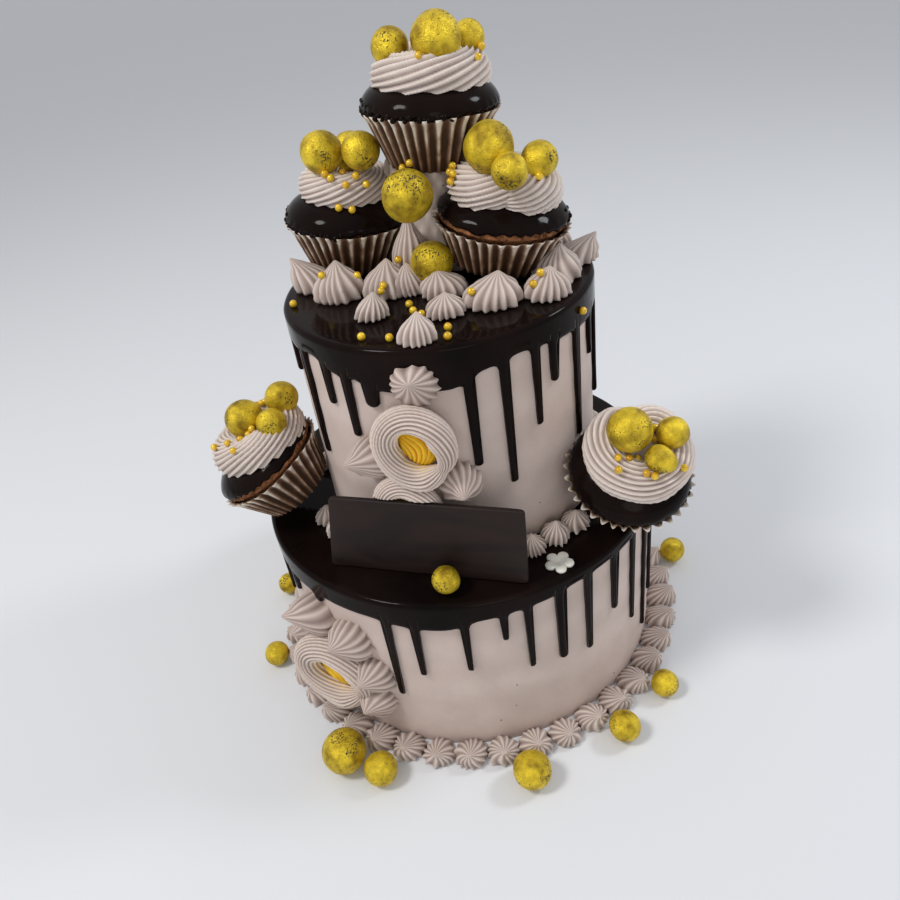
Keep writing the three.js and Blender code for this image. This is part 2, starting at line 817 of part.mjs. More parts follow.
// The border on the step, in two runs that the leaning cupcakes part.
const stepRuns = [
  { first: -158, last: -51, count: 12 },
  { first: -13, last: 164, count: 19 },
];
stepRuns.forEach(({ first, last, count }, run) => {
  const stars = Array.from({ length: count }, (_, k) => {
    const azimuth = THREE.MathUtils.lerp(first, last, k / (count - 1));
    const size = 8.3 + 0.2 * Math.sin(1.9 * k);
    const height = 11 + Math.sin(2.7 * k);
    const place = onRing(UPPER, azimuth, lowerGlazeTop + GAP, STEP_BORDER_RADIUS);
    return solid(star(size, height, { ...BORDER_STAR, lean: [1, 0] }), place);
  });
  const cutters = [upperWall, plaqueCutter, cupCutter(3), cupCutter(4)];
  add(`step_border_${run + 1}`, geometryOf(cut(join(stars), cutters)), buttercream);
});

// The sugar flower: five round petals cut from a flat sheet, with a hollow at the heart.
function sugarFlowerGeometry() {
  const petals = 5;
  const shape = new THREE.Shape();
  const points = Array.from({ length: petals * 4 }, (_, k) => {
    const angle = (k * 2 * Math.PI) / (petals * 4);
    const radius = [3.6, 6.9, 7.6, 6.9][k % 4];
    return new THREE.Vector2(radius * Math.cos(angle), radius * Math.sin(angle));
  });
  shape.setFromPoints(points);
  return new THREE.ExtrudeGeometry(shape, { depth: 2.2, bevelEnabled: false });
}
const flower = add("sugar_flower", sugarFlowerGeometry(), sugar);
flower.position.set(43.2, -95.1, lowerGlazeTop + GAP);

export default cake;
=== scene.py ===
"""The looks of a two-tier celebration cake: buttercream, dark glaze, cupcakes, piped stars and
rosettes, gold-dusted balls and sugar pearls. Millimetres turned to metres, +Z up, front at -Y."""

import math

import bpy
import numpy as np
from mathutils import Matrix, Vector


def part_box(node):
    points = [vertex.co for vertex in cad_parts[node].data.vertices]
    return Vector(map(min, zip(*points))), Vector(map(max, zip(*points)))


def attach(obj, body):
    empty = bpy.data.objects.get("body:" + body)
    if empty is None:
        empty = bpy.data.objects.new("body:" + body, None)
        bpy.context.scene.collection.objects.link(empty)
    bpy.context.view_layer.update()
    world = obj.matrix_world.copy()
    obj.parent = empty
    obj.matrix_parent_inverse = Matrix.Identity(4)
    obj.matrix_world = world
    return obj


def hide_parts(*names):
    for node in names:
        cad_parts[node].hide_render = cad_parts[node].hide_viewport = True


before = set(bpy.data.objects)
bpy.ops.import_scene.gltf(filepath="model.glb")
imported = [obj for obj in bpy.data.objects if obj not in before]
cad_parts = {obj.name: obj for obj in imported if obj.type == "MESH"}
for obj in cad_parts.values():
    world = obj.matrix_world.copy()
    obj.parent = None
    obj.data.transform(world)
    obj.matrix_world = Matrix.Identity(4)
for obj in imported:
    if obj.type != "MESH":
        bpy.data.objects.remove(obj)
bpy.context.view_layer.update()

# Camera. The photograph was taken from above and in front with a phone held slightly turned, from
# about 55 cm away. Its place and angles were solved from the ellipses of the two tiers.
MM = 0.001
FOCAL_PIXELS = 780.85
IMAGE_PIXELS = 900
CAMERA_BACK = 382.76
CAMERA_UP = 388.11
YAW, PITCH, ROLL = 0.0087, 0.6017, -0.1515


def camera_axes(yaw, pitch, roll):
    """Right, up and back unit vectors of a camera that looks along +Y turned by yaw, tipped down
    by pitch, then rolled about its line of sight."""
    ahead = np.array([-math.sin(yaw) * math.cos(pitch), math.cos(yaw) * math.cos(pitch), -math.sin(pitch)])
    level = np.array([math.cos(yaw), math.sin(yaw), 0.0])
    upright = np.cross(level, ahead)
    right = math.cos(roll) * level + math.sin(roll) * upright
    up = -math.sin(roll) * level + math.cos(roll) * upright
    return right, up, -ahead


def add_camera():
    """A camera with no lens shift at the photograph's place."""
    data = bpy.data.cameras.new("camera")
    data.sensor_width = 36
    data.lens = data.sensor_width * FOCAL_PIXELS / IMAGE_PIXELS
    data.clip_start = 0.01
    data.clip_end = 20
    camera = bpy.data.objects.new("camera", data)
    bpy.context.scene.collection.objects.link(camera)
    matrix = np.eye(4)
    matrix[:3, :3] = np.array(camera_axes(YAW, PITCH, ROLL)).T
    matrix[:3, 3] = [0, -CAMERA_BACK * MM, CAMERA_UP * MM]
    camera.matrix_world = Matrix(matrix.tolist())
    bpy.context.scene.camera = camera


add_camera()

# Floor and light. A plain pale floor, a wide soft window light from the upper left, a weaker one
# from the right and behind, and an even pale room round them.
FLOOR_SIZE = 60.0


def linear(hex_colour):
    """A colour written as #rrggbb in sRGB, as linear red, green, blue and full alpha."""
    parts = [int(hex_colour[i : i + 2], 16) / 255 for i in (1, 3, 5)]
    return [p / 12.92 if p <= 0.04045 else ((p + 0.055) / 1.055) ** 2.4 for p in parts] + [1.0]


def new_material(name):
    """A material, its node tree, its Principled shader and its object coordinates."""
    made = bpy.data.materials.new(name)
    made.use_nodes = True
    place = node(made.node_tree, "TexCoord", output="Object")
    return made, made.node_tree, made.node_tree.nodes["Principled BSDF"], place


def set_inputs(tree, made, inputs):
    """Gives each input of a node its value, or links it to the output that feeds it. The inputs
    are a dictionary by name or number, or a list in the node's own order."""
    for key, value in inputs.items() if isinstance(inputs, dict) else enumerate(inputs):
        if isinstance(value, bpy.types.NodeSocket):
            tree.links.new(value, made.inputs[key])
        else:
            made.inputs[key].default_value = value


def node(tree, kind, inputs=(), output=0, stops=(), **settings):
    """Adds a shader node of one kind with its settings, its inputs and, on a colour ramp, its stops
    as positions and colours. Gives back one of its outputs."""
    made = tree.nodes.new("ShaderNode" + kind)
    for key, value in settings.items():
        setattr(made, key, value)
    set_inputs(tree, made, inputs)
    for index, (position, colour) in enumerate(stops):
        ramp = made.color_ramp.elements
        stop = ramp[index] if index < 2 else ramp.new(position)
        stop.position = position
        stop.color = linear(colour)
    return made.outputs[output]


def add_area_light(name, place, target, size, power, colour):
    """A round area light at a place, facing a target, in metres and watts."""
    data = bpy.data.lights.new(name, "AREA")
    data.shape = "DISK"
    data.size = size
    data.energy = power
    data.color = linear(colour)[:3]
    lamp = bpy.data.objects.new(name, data)
    bpy.context.scene.collection.objects.link(lamp)
    lamp.location = place
    lamp.rotation_euler = (Vector(target) - Vector(place)).to_track_quat("-Z", "Y").to_euler()


def add_stage():
    """The floor with its matte paint, the lights and the room's even light."""
    half = FLOOR_SIZE / 2
    mesh = bpy.data.meshes.new("floor")
    corners = [(-half, -half, 0), (half, -half, 0), (half, half, 0), (-half, half, 0)]
    mesh.from_pydata(corners, [], [(0, 1, 2, 3)])
    paint = bpy.data.materials.new("matte_floor_paint")
    paint.use_nodes = True
    shader = paint.node_tree.nodes["Principled BSDF"]
    set_inputs(paint.node_tree, shader, {"Base Color": linear("#dddfe2"), "Roughness": 0.9})
    mesh.materials.append(paint)
    floor = bpy.data.objects.new("floor", mesh)
    bpy.context.scene.collection.objects.link(floor)
    middle = (0, 0, 0.16)
    add_area_light("window_left", (-0.75, -0.35, 1.25), middle, 0.34, 8.8, "#fffdfa")
    add_area_light("window_right", (0.95, 0.1, 0.95), middle, 0.26, 4.2, "#f4f8ff")
    add_area_light("front_fill", (0.15, -1.3, 0.55), middle, 0.6, 1.5, "#fffaf4")
    world = bpy.data.worlds.new("room")
    world.use_nodes = True
    sky = world.node_tree.nodes["Background"]
    sky.inputs["Color"].default_value = linear("#f6f7fa")
    sky.inputs["Strength"].default_value = 0.6
    scene = bpy.context.scene
    scene.world = world
    scene.view_settings.view_transform = "Standard"


add_stage()

# Tiers. Two round sponges, coated all over in smooth buttercream that is scraped level with a
# palette knife, so the wall has faint level bands, a few dents and tiny specks of crumb.
LOWER = {"x": 0.0, "y": 0.0, "radius": 112.5, "bottom": 0.0, "top": 109.5}
UPPER = {"x": 3.3, "y": -0.8, "radius": 78.0, "bottom": 112.3, "top": 231.7}


def add_piece(name, sheets, finish, stands_for=(), values=None):
    """Joins closed skins into one smooth object in metres. Each sheet is a grid of points, rows by
    columns by 3, in mm: its columns close round, and its first and last rows close at their
    middles. Skins whose volume comes out negative are turned to face outwards. values is a grid
    of numbers for each sheet, kept as the mesh attribute shade."""
    points, loops, sizes, shades = [], [], [], []
    start = 0
    for index, grid in enumerate(sheets):
        rows, columns = grid.shape[:2]
        flat = np.concatenate([grid.reshape(-1, 3), [grid[0].mean(0)], [grid[-1].mean(0)]])
        ids = np.arange(rows * columns).reshape(rows, columns)
        after = np.roll(ids, -1, axis=1)
        quads = np.stack([ids[:-1], after[:-1], after[1:], ids[1:]], axis=-1).reshape(-1, 4)
        first = np.stack([np.full(columns, rows * columns), after[0], ids[0]], axis=-1)
        last = np.stack([np.full(columns, rows * columns + 1), ids[-1], after[-1]], axis=-1)
        fans = np.concatenate([first, last])
        triangles = np.concatenate([quads[:, [0, 1, 2]], quads[:, [0, 2, 3]], fans])
        a, b, c = (flat[triangles[:, k]] for k in range(3))
        if np.einsum("ij,ij->i", a, np.cross(b, c)).sum() < 0:
            quads, fans = quads[:, ::-1], fans[:, ::-1]
        points.append(flat)
        loops += [quads.ravel() + start, fans.ravel() + start]
        sizes += [np.full(len(quads), 4), np.full(len(fans), 3)]
        if values is not None:
            shade = values[index]
            shades.append(np.concatenate([shade.ravel(), [shade[0].mean()], [shade[-1].mean()]]))
        start += len(flat)
    points = np.concatenate(points) * MM
    loops = np.concatenate(loops)
    sizes = np.concatenate(sizes)
    mesh = bpy.data.meshes.new(name)
    mesh.vertices.add(len(points))
    mesh.vertices.foreach_set("co", points.astype(np.float32).ravel())
    mesh.loops.add(len(loops))
    mesh.loops.foreach_set("vertex_index", loops.astype(np.int32))
    mesh.polygons.add(len(sizes))
    mesh.polygons.foreach_set("loop_start", (np.cumsum(sizes) - sizes).astype(np.int32))
    mesh.polygons.foreach_set("use_smooth", np.ones(len(sizes), bool))
    mesh.update(calc_edges=True)
    mesh.validate()
    if values is not None:
        attribute = mesh.attributes.new("shade", "FLOAT", "POINT")
        attribute.data.foreach_set("value", np.concatenate(shades).astype(np.float32))
    mesh.materials.append(finish)
    piece = bpy.data.objects.new(name, mesh)
    bpy.context.scene.collection.objects.link(piece)
    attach(piece, "root")
    if stands_for:
        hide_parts(*stands_for)


def buttercream_material(name, colour, shadow, bump, heart=()):
    """Whipped buttercream: pale pinkish beige, with painted shade that darkens it in its grooves, which the
    mesh attribute shade marks from 0 in a groove to 1 on a ridge, with fine air bubbles and rare specks.
    With the colours of a heart, ridges end at shade 0.45 and the heart's stops take over above it."""
    made, tree, shader, place = new_material(name)
    shade = node(tree, "Attribute", output="Fac", attribute_name="shade")
    ridge_end = 0.45 if heart else 1.0
    # On piped cream the shadow colour at shade 0 is painted shade in the grooves, fading to the cream's own
    # colour on the ridges.
    base = node(tree, "ValToRGB", [shade], stops=[(0.0, shadow), (ridge_end, colour), *heart])
    cloud = node(tree, "TexNoise", {"Vector": place, "Scale": 60.0, "Detail": 3.0})
    uneven = node(tree, "MapRange", [cloud, 0.3, 0.7, 0.93, 1.04])
    both = {6: base, 7: uneven, 0: 1.0}
    toned = node(tree, "Mix", both, output=2, data_type="RGBA", blend_type="MULTIPLY")
    dots = node(tree, "TexVoronoi", {"Vector": place, "Scale": 95.0}, feature="F1")
    rare = node(tree, "TexNoise", {"Vector": place, "Scale": 31.0, "Detail": 1.0})
    near = node(tree, "Math", [dots, 0.055], operation="LESS_THAN")
    some = node(tree, "Math", [rare, 0.62], operation="GREATER_THAN")
    speck = node(tree, "Math", [near, some], operation="MULTIPLY")
    final = node(tree, "Mix", {6: toned, 7: linear("#6d5046"), 0: speck}, output=2, data_type="RGBA")
    grain = node(tree, "TexNoise", {"Vector": place, "Scale": 900.0, "Detail": 4.0})
    relief = node(tree, "Bump", {"Height": grain, "Distance": 0.0006, "Strength": bump})
    set_inputs(tree, shader, {"Base Color": final, "Normal": relief, "Roughness": 0.62})
    set_inputs(tree, shader, {"Specular IOR Level": 0.35, "Subsurface Weight": 0.12})
    set_inputs(tree, shader, {"Subsurface Scale": 0.004, "Subsurface Radius": (1.0, 0.75, 0.6)})
    return made


# The heart's yellows are its dyed colour; the deeper oranges towards 1.0 are painted shade in its grooves.
# The darker colour #87716a of the piped and rosette creams is painted shade for their grooves.
YELLOW_HEART_AND_SHADE = [(0.55, "#dfceb4"), (0.68, "#f0c830"), (0.85, "#f0b410"), (1.0, "#c47a08")]
piped_cream = buttercream_material("whipped_buttercream", "#e6d9cf", "#87716a", 0.22)
rosette_cream = buttercream_material("rosette_buttercream", "#e2d2c7", "#87716a", 0.22, YELLOW_HEART_AND_SHADE)
scraped_cream = buttercream_material("scraped_buttercream", "#cdbcb3", "#c7b5ac", 0.3)


def circle(count):
    """A row of angles evenly round a circle."""
    return np.linspace(0, 2 * np.pi, count, endpoint=False)[None, :]


def polar(reach, angle, height, x=0.0, y=0.0):
    """Points at a reach and an angle from the upright axis through x and y, at a height."""
    reach, angle, height = np.broadcast_arrays(reach, angle, height)
    return np.stack([x + reach * np.cos(angle), y + reach * np.sin(angle), height], axis=-1)


def tier_sheet(tier):
    """The wall of a tier with its top and underside: radius less faint level waves, left by the
    scraper, and wider dents. It never passes the tier's own radius."""
    edge = 1.2
    heights = np.linspace(tier["bottom"] + edge, tier["top"] - edge, 48)
    z, a = heights[:, None], circle(240)
    waves = 0.10 * np.sin(0.33 * z + 0.8 * np.sin(2 * a)) + 0.13 * np.sin(3 * a + 0.03 * z)
    dents = 0.12 * np.sin(7 * a + 0.05 * z + 1) * np.sin(0.06 * z + 2)
    reach = tier["radius"] - 0.35 + waves + dents
    wall = polar(reach, a, z, tier["x"], tier["y"])
    foot = wall[:1].copy()
    foot[..., 2] = tier["bottom"]
    brow = wall[-1:].copy()
    brow[..., 2] = tier["top"]
    middle = np.array([tier["x"], tier["y"], 0.0])
    inner_foot = middle + (foot - middle) * [0.5, 0.5, 1]
    inner_brow = middle + (brow - middle) * [0.5, 0.5, 1]
    return np.concatenate([inner_foot, foot, wall, brow, inner_brow])


for name, tier in (("lower_tier", LOWER), ("upper_tier", UPPER)):
    sheet = tier_sheet(tier)
    bands = 0.5 + 0.5 * np.sin(0.21 * sheet[..., 2] + 2 * np.sin(np.arctan2(sheet[..., 1], sheet[..., 0])))
    add_piece(f"{name}_coat", [sheet], scraped_cream, [name], [bands])

# Glaze. Dark chocolate poured over each tier while warm: a level glossy sheet with a rounded edge,
# a short skirt on the wall, and drips that ran from it and set with round ends.
GAP = 0.3
GLAZE_TOP = 2.2
GLAZE_SKIN = 1.95
GLAZE_EDGE = 2.6
DRIP_HALF_WIDTH = 2.3
# Each drip: azimuth, height of its tip, width factor, height of the skirt's edge to the next.
UPPER_FRONT_DRIPS = [
    (-152, 162, 1, 223), (-138, 199, 1, 217), (-128.6, 184, 1.1, 217), (-119, 203, 1.6, 212),
    (-85, 168, 1.1, 219), (-72.7, 153, 1.2, 222), (-60.4, 180, 1, 221), (-51.9, 199, 1, 219),
    (-38.7, 158, 1, 217), (-26, 196, 1, 218), (-14.7, 165, 1, 219),
]
LOWER_FRONT_DRIPS = [
    (-151, 84, 1.1, 97), (-138, 92, 1.4, 98), (-115, 40, 1, 95.5), (-107.3, 59, 1, 94),
    (-94.2, 63, 1, 99), (-84.2, 82, 0.9, 100.5), (-77.9, 57, 1, 101.5), (-68.5, 54, 1.1, 104),
    (-59.8, 50, 1, 104.5), (-49.4, 65, 1, 104), (-40, 41, 0.8, 103), (-31, 18, 0.8, 102),
    (-22, 31, 1, 100),
]


def further_drips(first, last, count, longest, shortest, edge):
    """Drips on the side that faces away, at uneven steps and of uneven length."""
    k = np.arange(count)
    azimuth = first + (last - first) * (k + 0.22 * np.sin(5 * k)) / (count - 1)
    tip = longest + (shortest - longest) * (0.5 + 0.5 * np.sin(2.4 * k + 1))
    return list(zip(azimuth, tip, np.ones(count), edge + 2.5 * np.sin(1.9 * k)))


def chocolate_glaze_material():
    """Poured dark chocolate glaze: near black brown, mirror-smooth with faint flow streaks that
    make its roughness uneven."""
    made, tree, shader, place = new_material("poured_chocolate_glaze")
    cloud = node(tree, "TexNoise", {"Vector": place, "Scale": 26.0, "Detail": 4.0})
    tone = node(tree, "ValToRGB", [cloud], stops=[(0.35, "#0f0908"), (0.7, "#1c1210")])
    gloss = node(tree, "MapRange", [cloud, 0.3, 0.75, 0.05, 0.16])
    wobble = node(tree, "TexNoise", {"Vector": place, "Scale": 130.0, "Detail": 2.0})
    relief = node(tree, "Bump", {"Height": wobble, "Distance": 0.0008, "Strength": 0.12})
    looks = {"Base Color": tone, "Roughness": gloss, "Normal": relief, "Specular IOR Level": 0.055}
    set_inputs(tree, shader, looks)
    return made


glaze_chocolate = chocolate_glaze_material()


def glaze_depth(tier, drips, angles, heights):
    """How far inside the glaze's outline each point of the wall lies, in mm: the smooth union of
    the skirt above its edge and one round-ended strip for each drip."""
    azimuths, _, _, edges = np.array(drips, float).T
    wrapped = np.degrees(angles) % 360
    order = np.argsort(azimuths % 360)
    starts = (azimuths % 360)[order]
    holder = order[np.searchsorted(starts, wrapped, side="right") - 1]
    kernel = np.hanning(31)
    skirt = edges[holder]
    padded = np.concatenate([skirt[0][-15:], skirt[0], skirt[0][:15]])
    skirt = np.convolve(padded, kernel / kernel.sum(), mode="valid")[None, :]
    field = heights - skirt
    blend = 4.5
    for azimuth, tip, width, _ in drips:
        half = DRIP_HALF_WIDTH * width
        across = np.radians((np.degrees(angles) - azimuth + 180) % 360 - 180) * tier["radius"]
        swell = 0.82 + 0.26 * np.exp(-(((heights - tip - half) / 5) ** 2))
        below = np.minimum(heights - tip - half, 0)
        strip = half * swell - np.hypot(across, below)
        share = np.clip(0.5 + 0.5 * (strip - field) / blend, 0, 1)
        field = field + (strip - field) * share + blend * share * (1 - share)
    return field


def glaze_sheet(tier, drips, columns):
    """The glaze as a closed skin: for each azimuth a line that starts on the wall at the glaze's
    lower outline, comes out to full thickness, climbs the wall to one level above the drips and on,
    turns over the rounded edge and runs in across the top, then returns underneath to its start."""
    angles = circle(columns)
    top = tier["top"] + GAP + GLAZE_TOP
    shoulder = top - GLAZE_EDGE
    low = np.full(angles.shape, tier["bottom"] + 4.0)
    high = np.full(angles.shape, shoulder)
    for _ in range(26):
        middle = (low + high) / 2
        inside = glaze_depth(tier, drips, angles, middle) > 0
        high = np.where(inside, middle, high)
        low = np.where(inside, low, middle)
    outline = high
    near = np.array([0.12, 0.4, 0.8, 1.4, 2.2, 3.2, 4.6])[:, None]
    room = shoulder - outline
    close = outline + np.minimum(near, room * near / near[-1] * 0.6)
    level = np.maximum(max(d[3] for d in drips) + 2.5, close[-1:])
    climb = close[-1:] + (level - close[-1:]) * np.linspace(0, 1, 15)[1:, None]
    even = level + (shoulder - level) * np.linspace(0, 1, 5)[1:, None]
    heights = np.concatenate([outline, close, climb, even])
    depth = np.maximum(glaze_depth(tier, drips, angles, heights), 0)
    rounded = np.clip(depth / DRIP_HALF_WIDTH, 0, 1)
    skin = 0.25 + (GLAZE_SKIN - 0.25) * np.sqrt(1 - (1 - rounded) ** 2)
    skin[0] = 0.0
    flow = 0.12 * np.sin(9 * angles + 0.05 * heights) * rounded
    radii = tier["radius"] + skin - np.abs(flow)
    turn = np.radians(np.linspace(0, 90, 8)[1:, None])
    edge_radii = radii[-1:] - GLAZE_EDGE * (1 - np.cos(turn))
    edge_heights = shoulder + GLAZE_EDGE * np.sin(turn) + 0 * angles
    sheet_radii = edge_radii[-1:] * np.linspace(1, 0.04, 14)[1:, None]
    hollow = 0.25 * np.sin(3 * angles + 1) * np.sin(0.09 * sheet_radii) - 0.25
    sheet_heights = top + hollow * np.clip((edge_radii[-1:] - sheet_radii) / 12, 0, 1)
    under_radii = np.array([0.3, 0.985])[:, None] * tier["radius"] + 0 * angles
    under_heights = np.full(under_radii.shape, tier["top"] - 0.2)
    back_radii = np.full(angles.shape, tier["radius"] - 0.8)
    back_heights = np.minimum(outline + 0.5, tier["top"] - 0.3)
    r = np.concatenate([back_radii, radii, edge_radii, sheet_radii, under_radii])
    z = np.concatenate([back_heights, heights, edge_heights, sheet_heights, under_heights])
    grid = polar(r, angles, z, tier["x"], tier["y"])
    return np.concatenate([grid, grid[:1]])


upper_drips = UPPER_FRONT_DRIPS + further_drips(1, 191, 9, 156, 204, 219)
lower_drips = LOWER_FRONT_DRIPS + further_drips(-8, 193, 11, 34, 86, 99)
for name, skin in (
    ("upper_glaze", glaze_sheet(UPPER, upper_drips, 600)),
    ("lower_glaze", glaze_sheet(LOWER, lower_drips, 780)),
):
    add_piece(f"{name}_sheet", [skin], glaze_chocolate, [name])

# Gold-dusted balls and sugar pearls. The balls are chocolate truffles rolled in edible gold dust,
# which has cracked and rubbed off in spots. The pearls are small glossy sugar beads.
PEARL_RADIUS = 1.95


def ball_sheet(radius, centre, seed, rows=22, columns=40, tip=0.0):
    """A ball with slow bumps of a few hundredths of its radius, from a sum of sines of its
    direction. A tip above 0 draws its far end out to a blunt point, towards the front right."""
    v = np.linspace(0, np.pi, rows + 2)[1:-1, None]
    u = circle(columns)
    x = np.sin(v) * np.cos(u)
    y = np.sin(v) * np.sin(u)
    z = np.cos(v) + 0 * u
    lumps = np.sin(2.3 * x + seed) * np.sin(2.9 * y + 2 * seed) + 0.6 * np.sin(4.1 * z + 3 * seed + 2 * x)
    reach = radius * (0.985 + 0.018 * lumps)
    out = np.clip(0.75 * x - 0.6 * y - 0.3 * z, 0, 1)
    reach = reach * (1 + tip * out**4)
    points = np.stack([x * reach, y * reach, z * reach], axis=-1)
    return points + np.array(centre, float)


def gold_dust_material():
    """Edible gold dust on a dark chocolate ball: warm satin gold, brushed unevenly, with small
    cracks and flecks where the chocolate shows."""
    made, tree, shader, place = new_material("edible_gold_dust")
    cloud = node(tree, "TexNoise", {"Vector": place, "Scale": 120.0, "Detail": 5.0, "Roughness": 0.6})
    tone = node(tree, "ValToRGB", [cloud], stops=[(0.32, "#8c7004"), (0.66, "#f5d633")])
    fine = node(tree, "TexNoise", {"Vector": place, "Scale": 1000.0, "Detail": 3.0, "Roughness": 0.65})
    patch = node(tree, "TexNoise", {"Vector": place, "Scale": 75.0, "Detail": 1.0})
    mask = node(tree, "MapRange", [patch, 0.47, 0.66, 0.0, 0.16])
    worn = node(tree, "Math", [fine, mask], operation="ADD")
    crack = node(tree, "MapRange", [worn, 0.69, 0.73, 0.0, 1.0])
    colour = node(tree, "Mix", {0: crack, 6: tone, 7: linear("#1d150b")}, output=2, data_type="RGBA")
    metal = node(tree, "MapRange", [crack, 0.0, 1.0, 0.55, 0.0])
    rough = node(tree, "MapRange", [cloud, 0.3, 0.7, 0.5, 0.36])
    height = node(tree, "Math", [fine, crack], operation="SUBTRACT")
    relief = node(tree, "Bump", {"Height": height, "Distance": 0.0014, "Strength": 0.5})
    set_inputs(tree, shader, {"Base Color": colour, "Metallic": metal, "Roughness": rough})
    set_inputs(tree, shader, {"Normal": relief, "Specular IOR Level": 0.5})
    return made


def pearl_material():
    """Glossy amber-gold sugar pearls."""
    made, tree, shader, place = new_material("gold_sugar_pearl")
    cloud = node(tree, "TexNoise", {"Vector": place, "Scale": 240.0, "Detail": 2.0})
    tone = node(tree, "ValToRGB", [cloud], stops=[(0.35, "#c9960a"), (0.65, "#f5cf2c")])
    looks = {"Base Color": tone, "Roughness": 0.25, "Metallic": 0.15, "Coat Weight": 0.4}
    set_inputs(tree, shader, looks)
    return made


gold_dust = gold_dust_material()
pearl_sugar = pearl_material()
# Each ball is a hair smaller than its solid, so that its bumps stay inside. One ball was rolled
# to a blunt point.
BALL_SHARE = 0.985
POINTED_BALL = "cupcake_5_ball_3"
for index, name in enumerate(sorted(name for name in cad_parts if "ball" in name)):
    low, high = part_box(name)
    radius = BALL_SHARE * max(high - low) / 2 / MM
    drawn = 0.42 if name == POINTED_BALL else 0.0
    skin = ball_sheet(radius, np.array((low + high) / 2) / MM, 1.7 * index, tip=drawn)
    add_piece(f"{name}_dusted", [skin], gold_dust, [name])


def pearl_sheets(centres):
    """Small round beads at a list of centres."""
    return [ball_sheet(PEARL_RADIUS, centre, k, rows=8, columns=16) for k, centre in enumerate(centres)]


# Pearls on the upper glaze, as x and y, and one stuck to its skirt on the wall.
GLAZE_PEARLS = [
    (-70, -12), (-34.6, -61.3), (-21.9, -66.5), (-11.8, -33.6), (-10.2, -41.6), (-6.4, -47),
    (4.6, -64.4), (3.8, -73.5),
]
RIM_PEARL = (68.6, -49.1, 226.4)
pearl_height = UPPER["top"] + GAP + GLAZE_TOP + 0.8 * PEARL_RADIUS
glaze_pearls = [(x, y, pearl_height) for x, y in GLAZE_PEARLS] + [RIM_PEARL]
add_piece("glaze_pearls", pearl_sheets(glaze_pearls), pearl_sugar)

# Plaque. A thin slab of tempered dark chocolate, cast flat, cut by hand and stood on the step:
# dull, with a faint bloom and finger smears, and edges slightly softened by handling.
PLAQUE_HEIGHT, PLAQUE_THICKNESS = 43.5, 3.2
PLAQUE_LEFT = {"foot": -52.7, "top": -46.5}
PLAQUE_RIGHT = {"foot": 52.7, "top": 53.0}
PLAQUE_TURN, PLAQUE_LEAN = -19.5, 4.0
STEP = LOWER["top"] + GAP + GLAZE_TOP + GAP
PLAQUE_FOOT = np.array([-24, -89.2, STEP])


def plaque_chocolate_material():
    """Matte dark chocolate with a greyish bloom in soft smears."""
    made, tree, shader, place = new_material("tempered_dark_chocolate")
    stretched = node(tree, "Mapping", {"Vector": place, "Scale": (0.6, 1.0, 2.2)})
    smears = {"Vector": stretched, "Scale": 22.0, "Detail": 6.0, "Distortion": 1.2}
    smear = node(tree, "TexNoise", smears)
    tone = node(tree, "ValToRGB", [smear], stops=[(0.38, "#1a1110"), (0.72, "#2d1f1b")])
    rough = node(tree, "MapRange", [smear, 0.3, 0.7, 0.42, 0.66])
    fine = node(tree, "TexNoise", {"Vector": place, "Scale": 300.0, "Detail": 3.0})
    relief = node(tree, "Bump", {"Height": fine, "Distance": 0.0004, "Strength": 0.2})
    looks = {"Base Color": tone, "Roughness": rough, "Normal": relief, "Specular IOR Level": 0.22}
    set_inputs(tree, shader, looks)
    return made


def placed(grid, matrix):
    """A grid of points moved by a 3 by 4 matrix."""
    return grid @ matrix[:, :3].T + matrix[:, 3]


def plaque_matrix():
    """From the plaque's own frame, x along it, y back through it and z up it, to its place: leaned
    back, turned, and lifted so that its front edge stands on the glaze."""
    lean, turn = math.radians(PLAQUE_LEAN), math.radians(PLAQUE_TURN)
    leaned = np.array([[1, 0, 0], [0, math.cos(lean), math.sin(lean)], [0, -math.sin(lean), math.cos(lean)]])
    c, s = math.cos(turn), math.sin(turn)
    turned = np.array([[c, -s, 0], [s, c, 0], [0, 0, 1]]) @ leaned
    lift = turned @ [0, 0, PLAQUE_THICKNESS * math.sin(lean)]
    return np.column_stack([turned, PLAQUE_FOOT + lift])


def plaque_sheet():
    """A slab as rings that run round its rounded outline, from the middle of its back face over
    the softened edges to the middle of its front face."""
    half = np.array([PLAQUE_RIGHT["foot"], PLAQUE_HEIGHT / 2])
    corner = 0.8
    a = circle(200)[0]
    c, s = np.cos(a), np.sin(a)
    power = 0.06
    square = np.stack([np.sign(c) * np.abs(c) ** power, np.sign(s) * np.abs(s) ** power], axis=-1)
    insets = [20, 6, corner, 0.25, 0.0, 0.0, 0.25, corner, 6, 20]
    depths = [0, 0, 0, 0.2, 0.7, PLAQUE_THICKNESS - 0.7, PLAQUE_THICKNESS - 0.2] + [PLAQUE_THICKNESS] * 3
    rows = []
    for inset, deep in zip(insets, depths):
        ring = square * (half - inset)
        chips = 0.10 * np.sin(17 * a) * np.sin(5 * a) * (inset < corner)
        rows.append(np.stack([ring[:, 0], deep + chips, ring[:, 1] + half[1]], axis=-1))
    grid = np.array(rows)
    share = grid[..., 2] / PLAQUE_HEIGHT
    left = PLAQUE_LEFT["foot"] + (PLAQUE_LEFT["top"] - PLAQUE_LEFT["foot"]) * share
    right = PLAQUE_RIGHT["foot"] + (PLAQUE_RIGHT["top"] - PLAQUE_RIGHT["foot"]) * share
    grid[..., 0] = left + (right - left) * (0.5 + 0.5 * grid[..., 0] / half[0])
    return placed(grid, plaque_matrix())


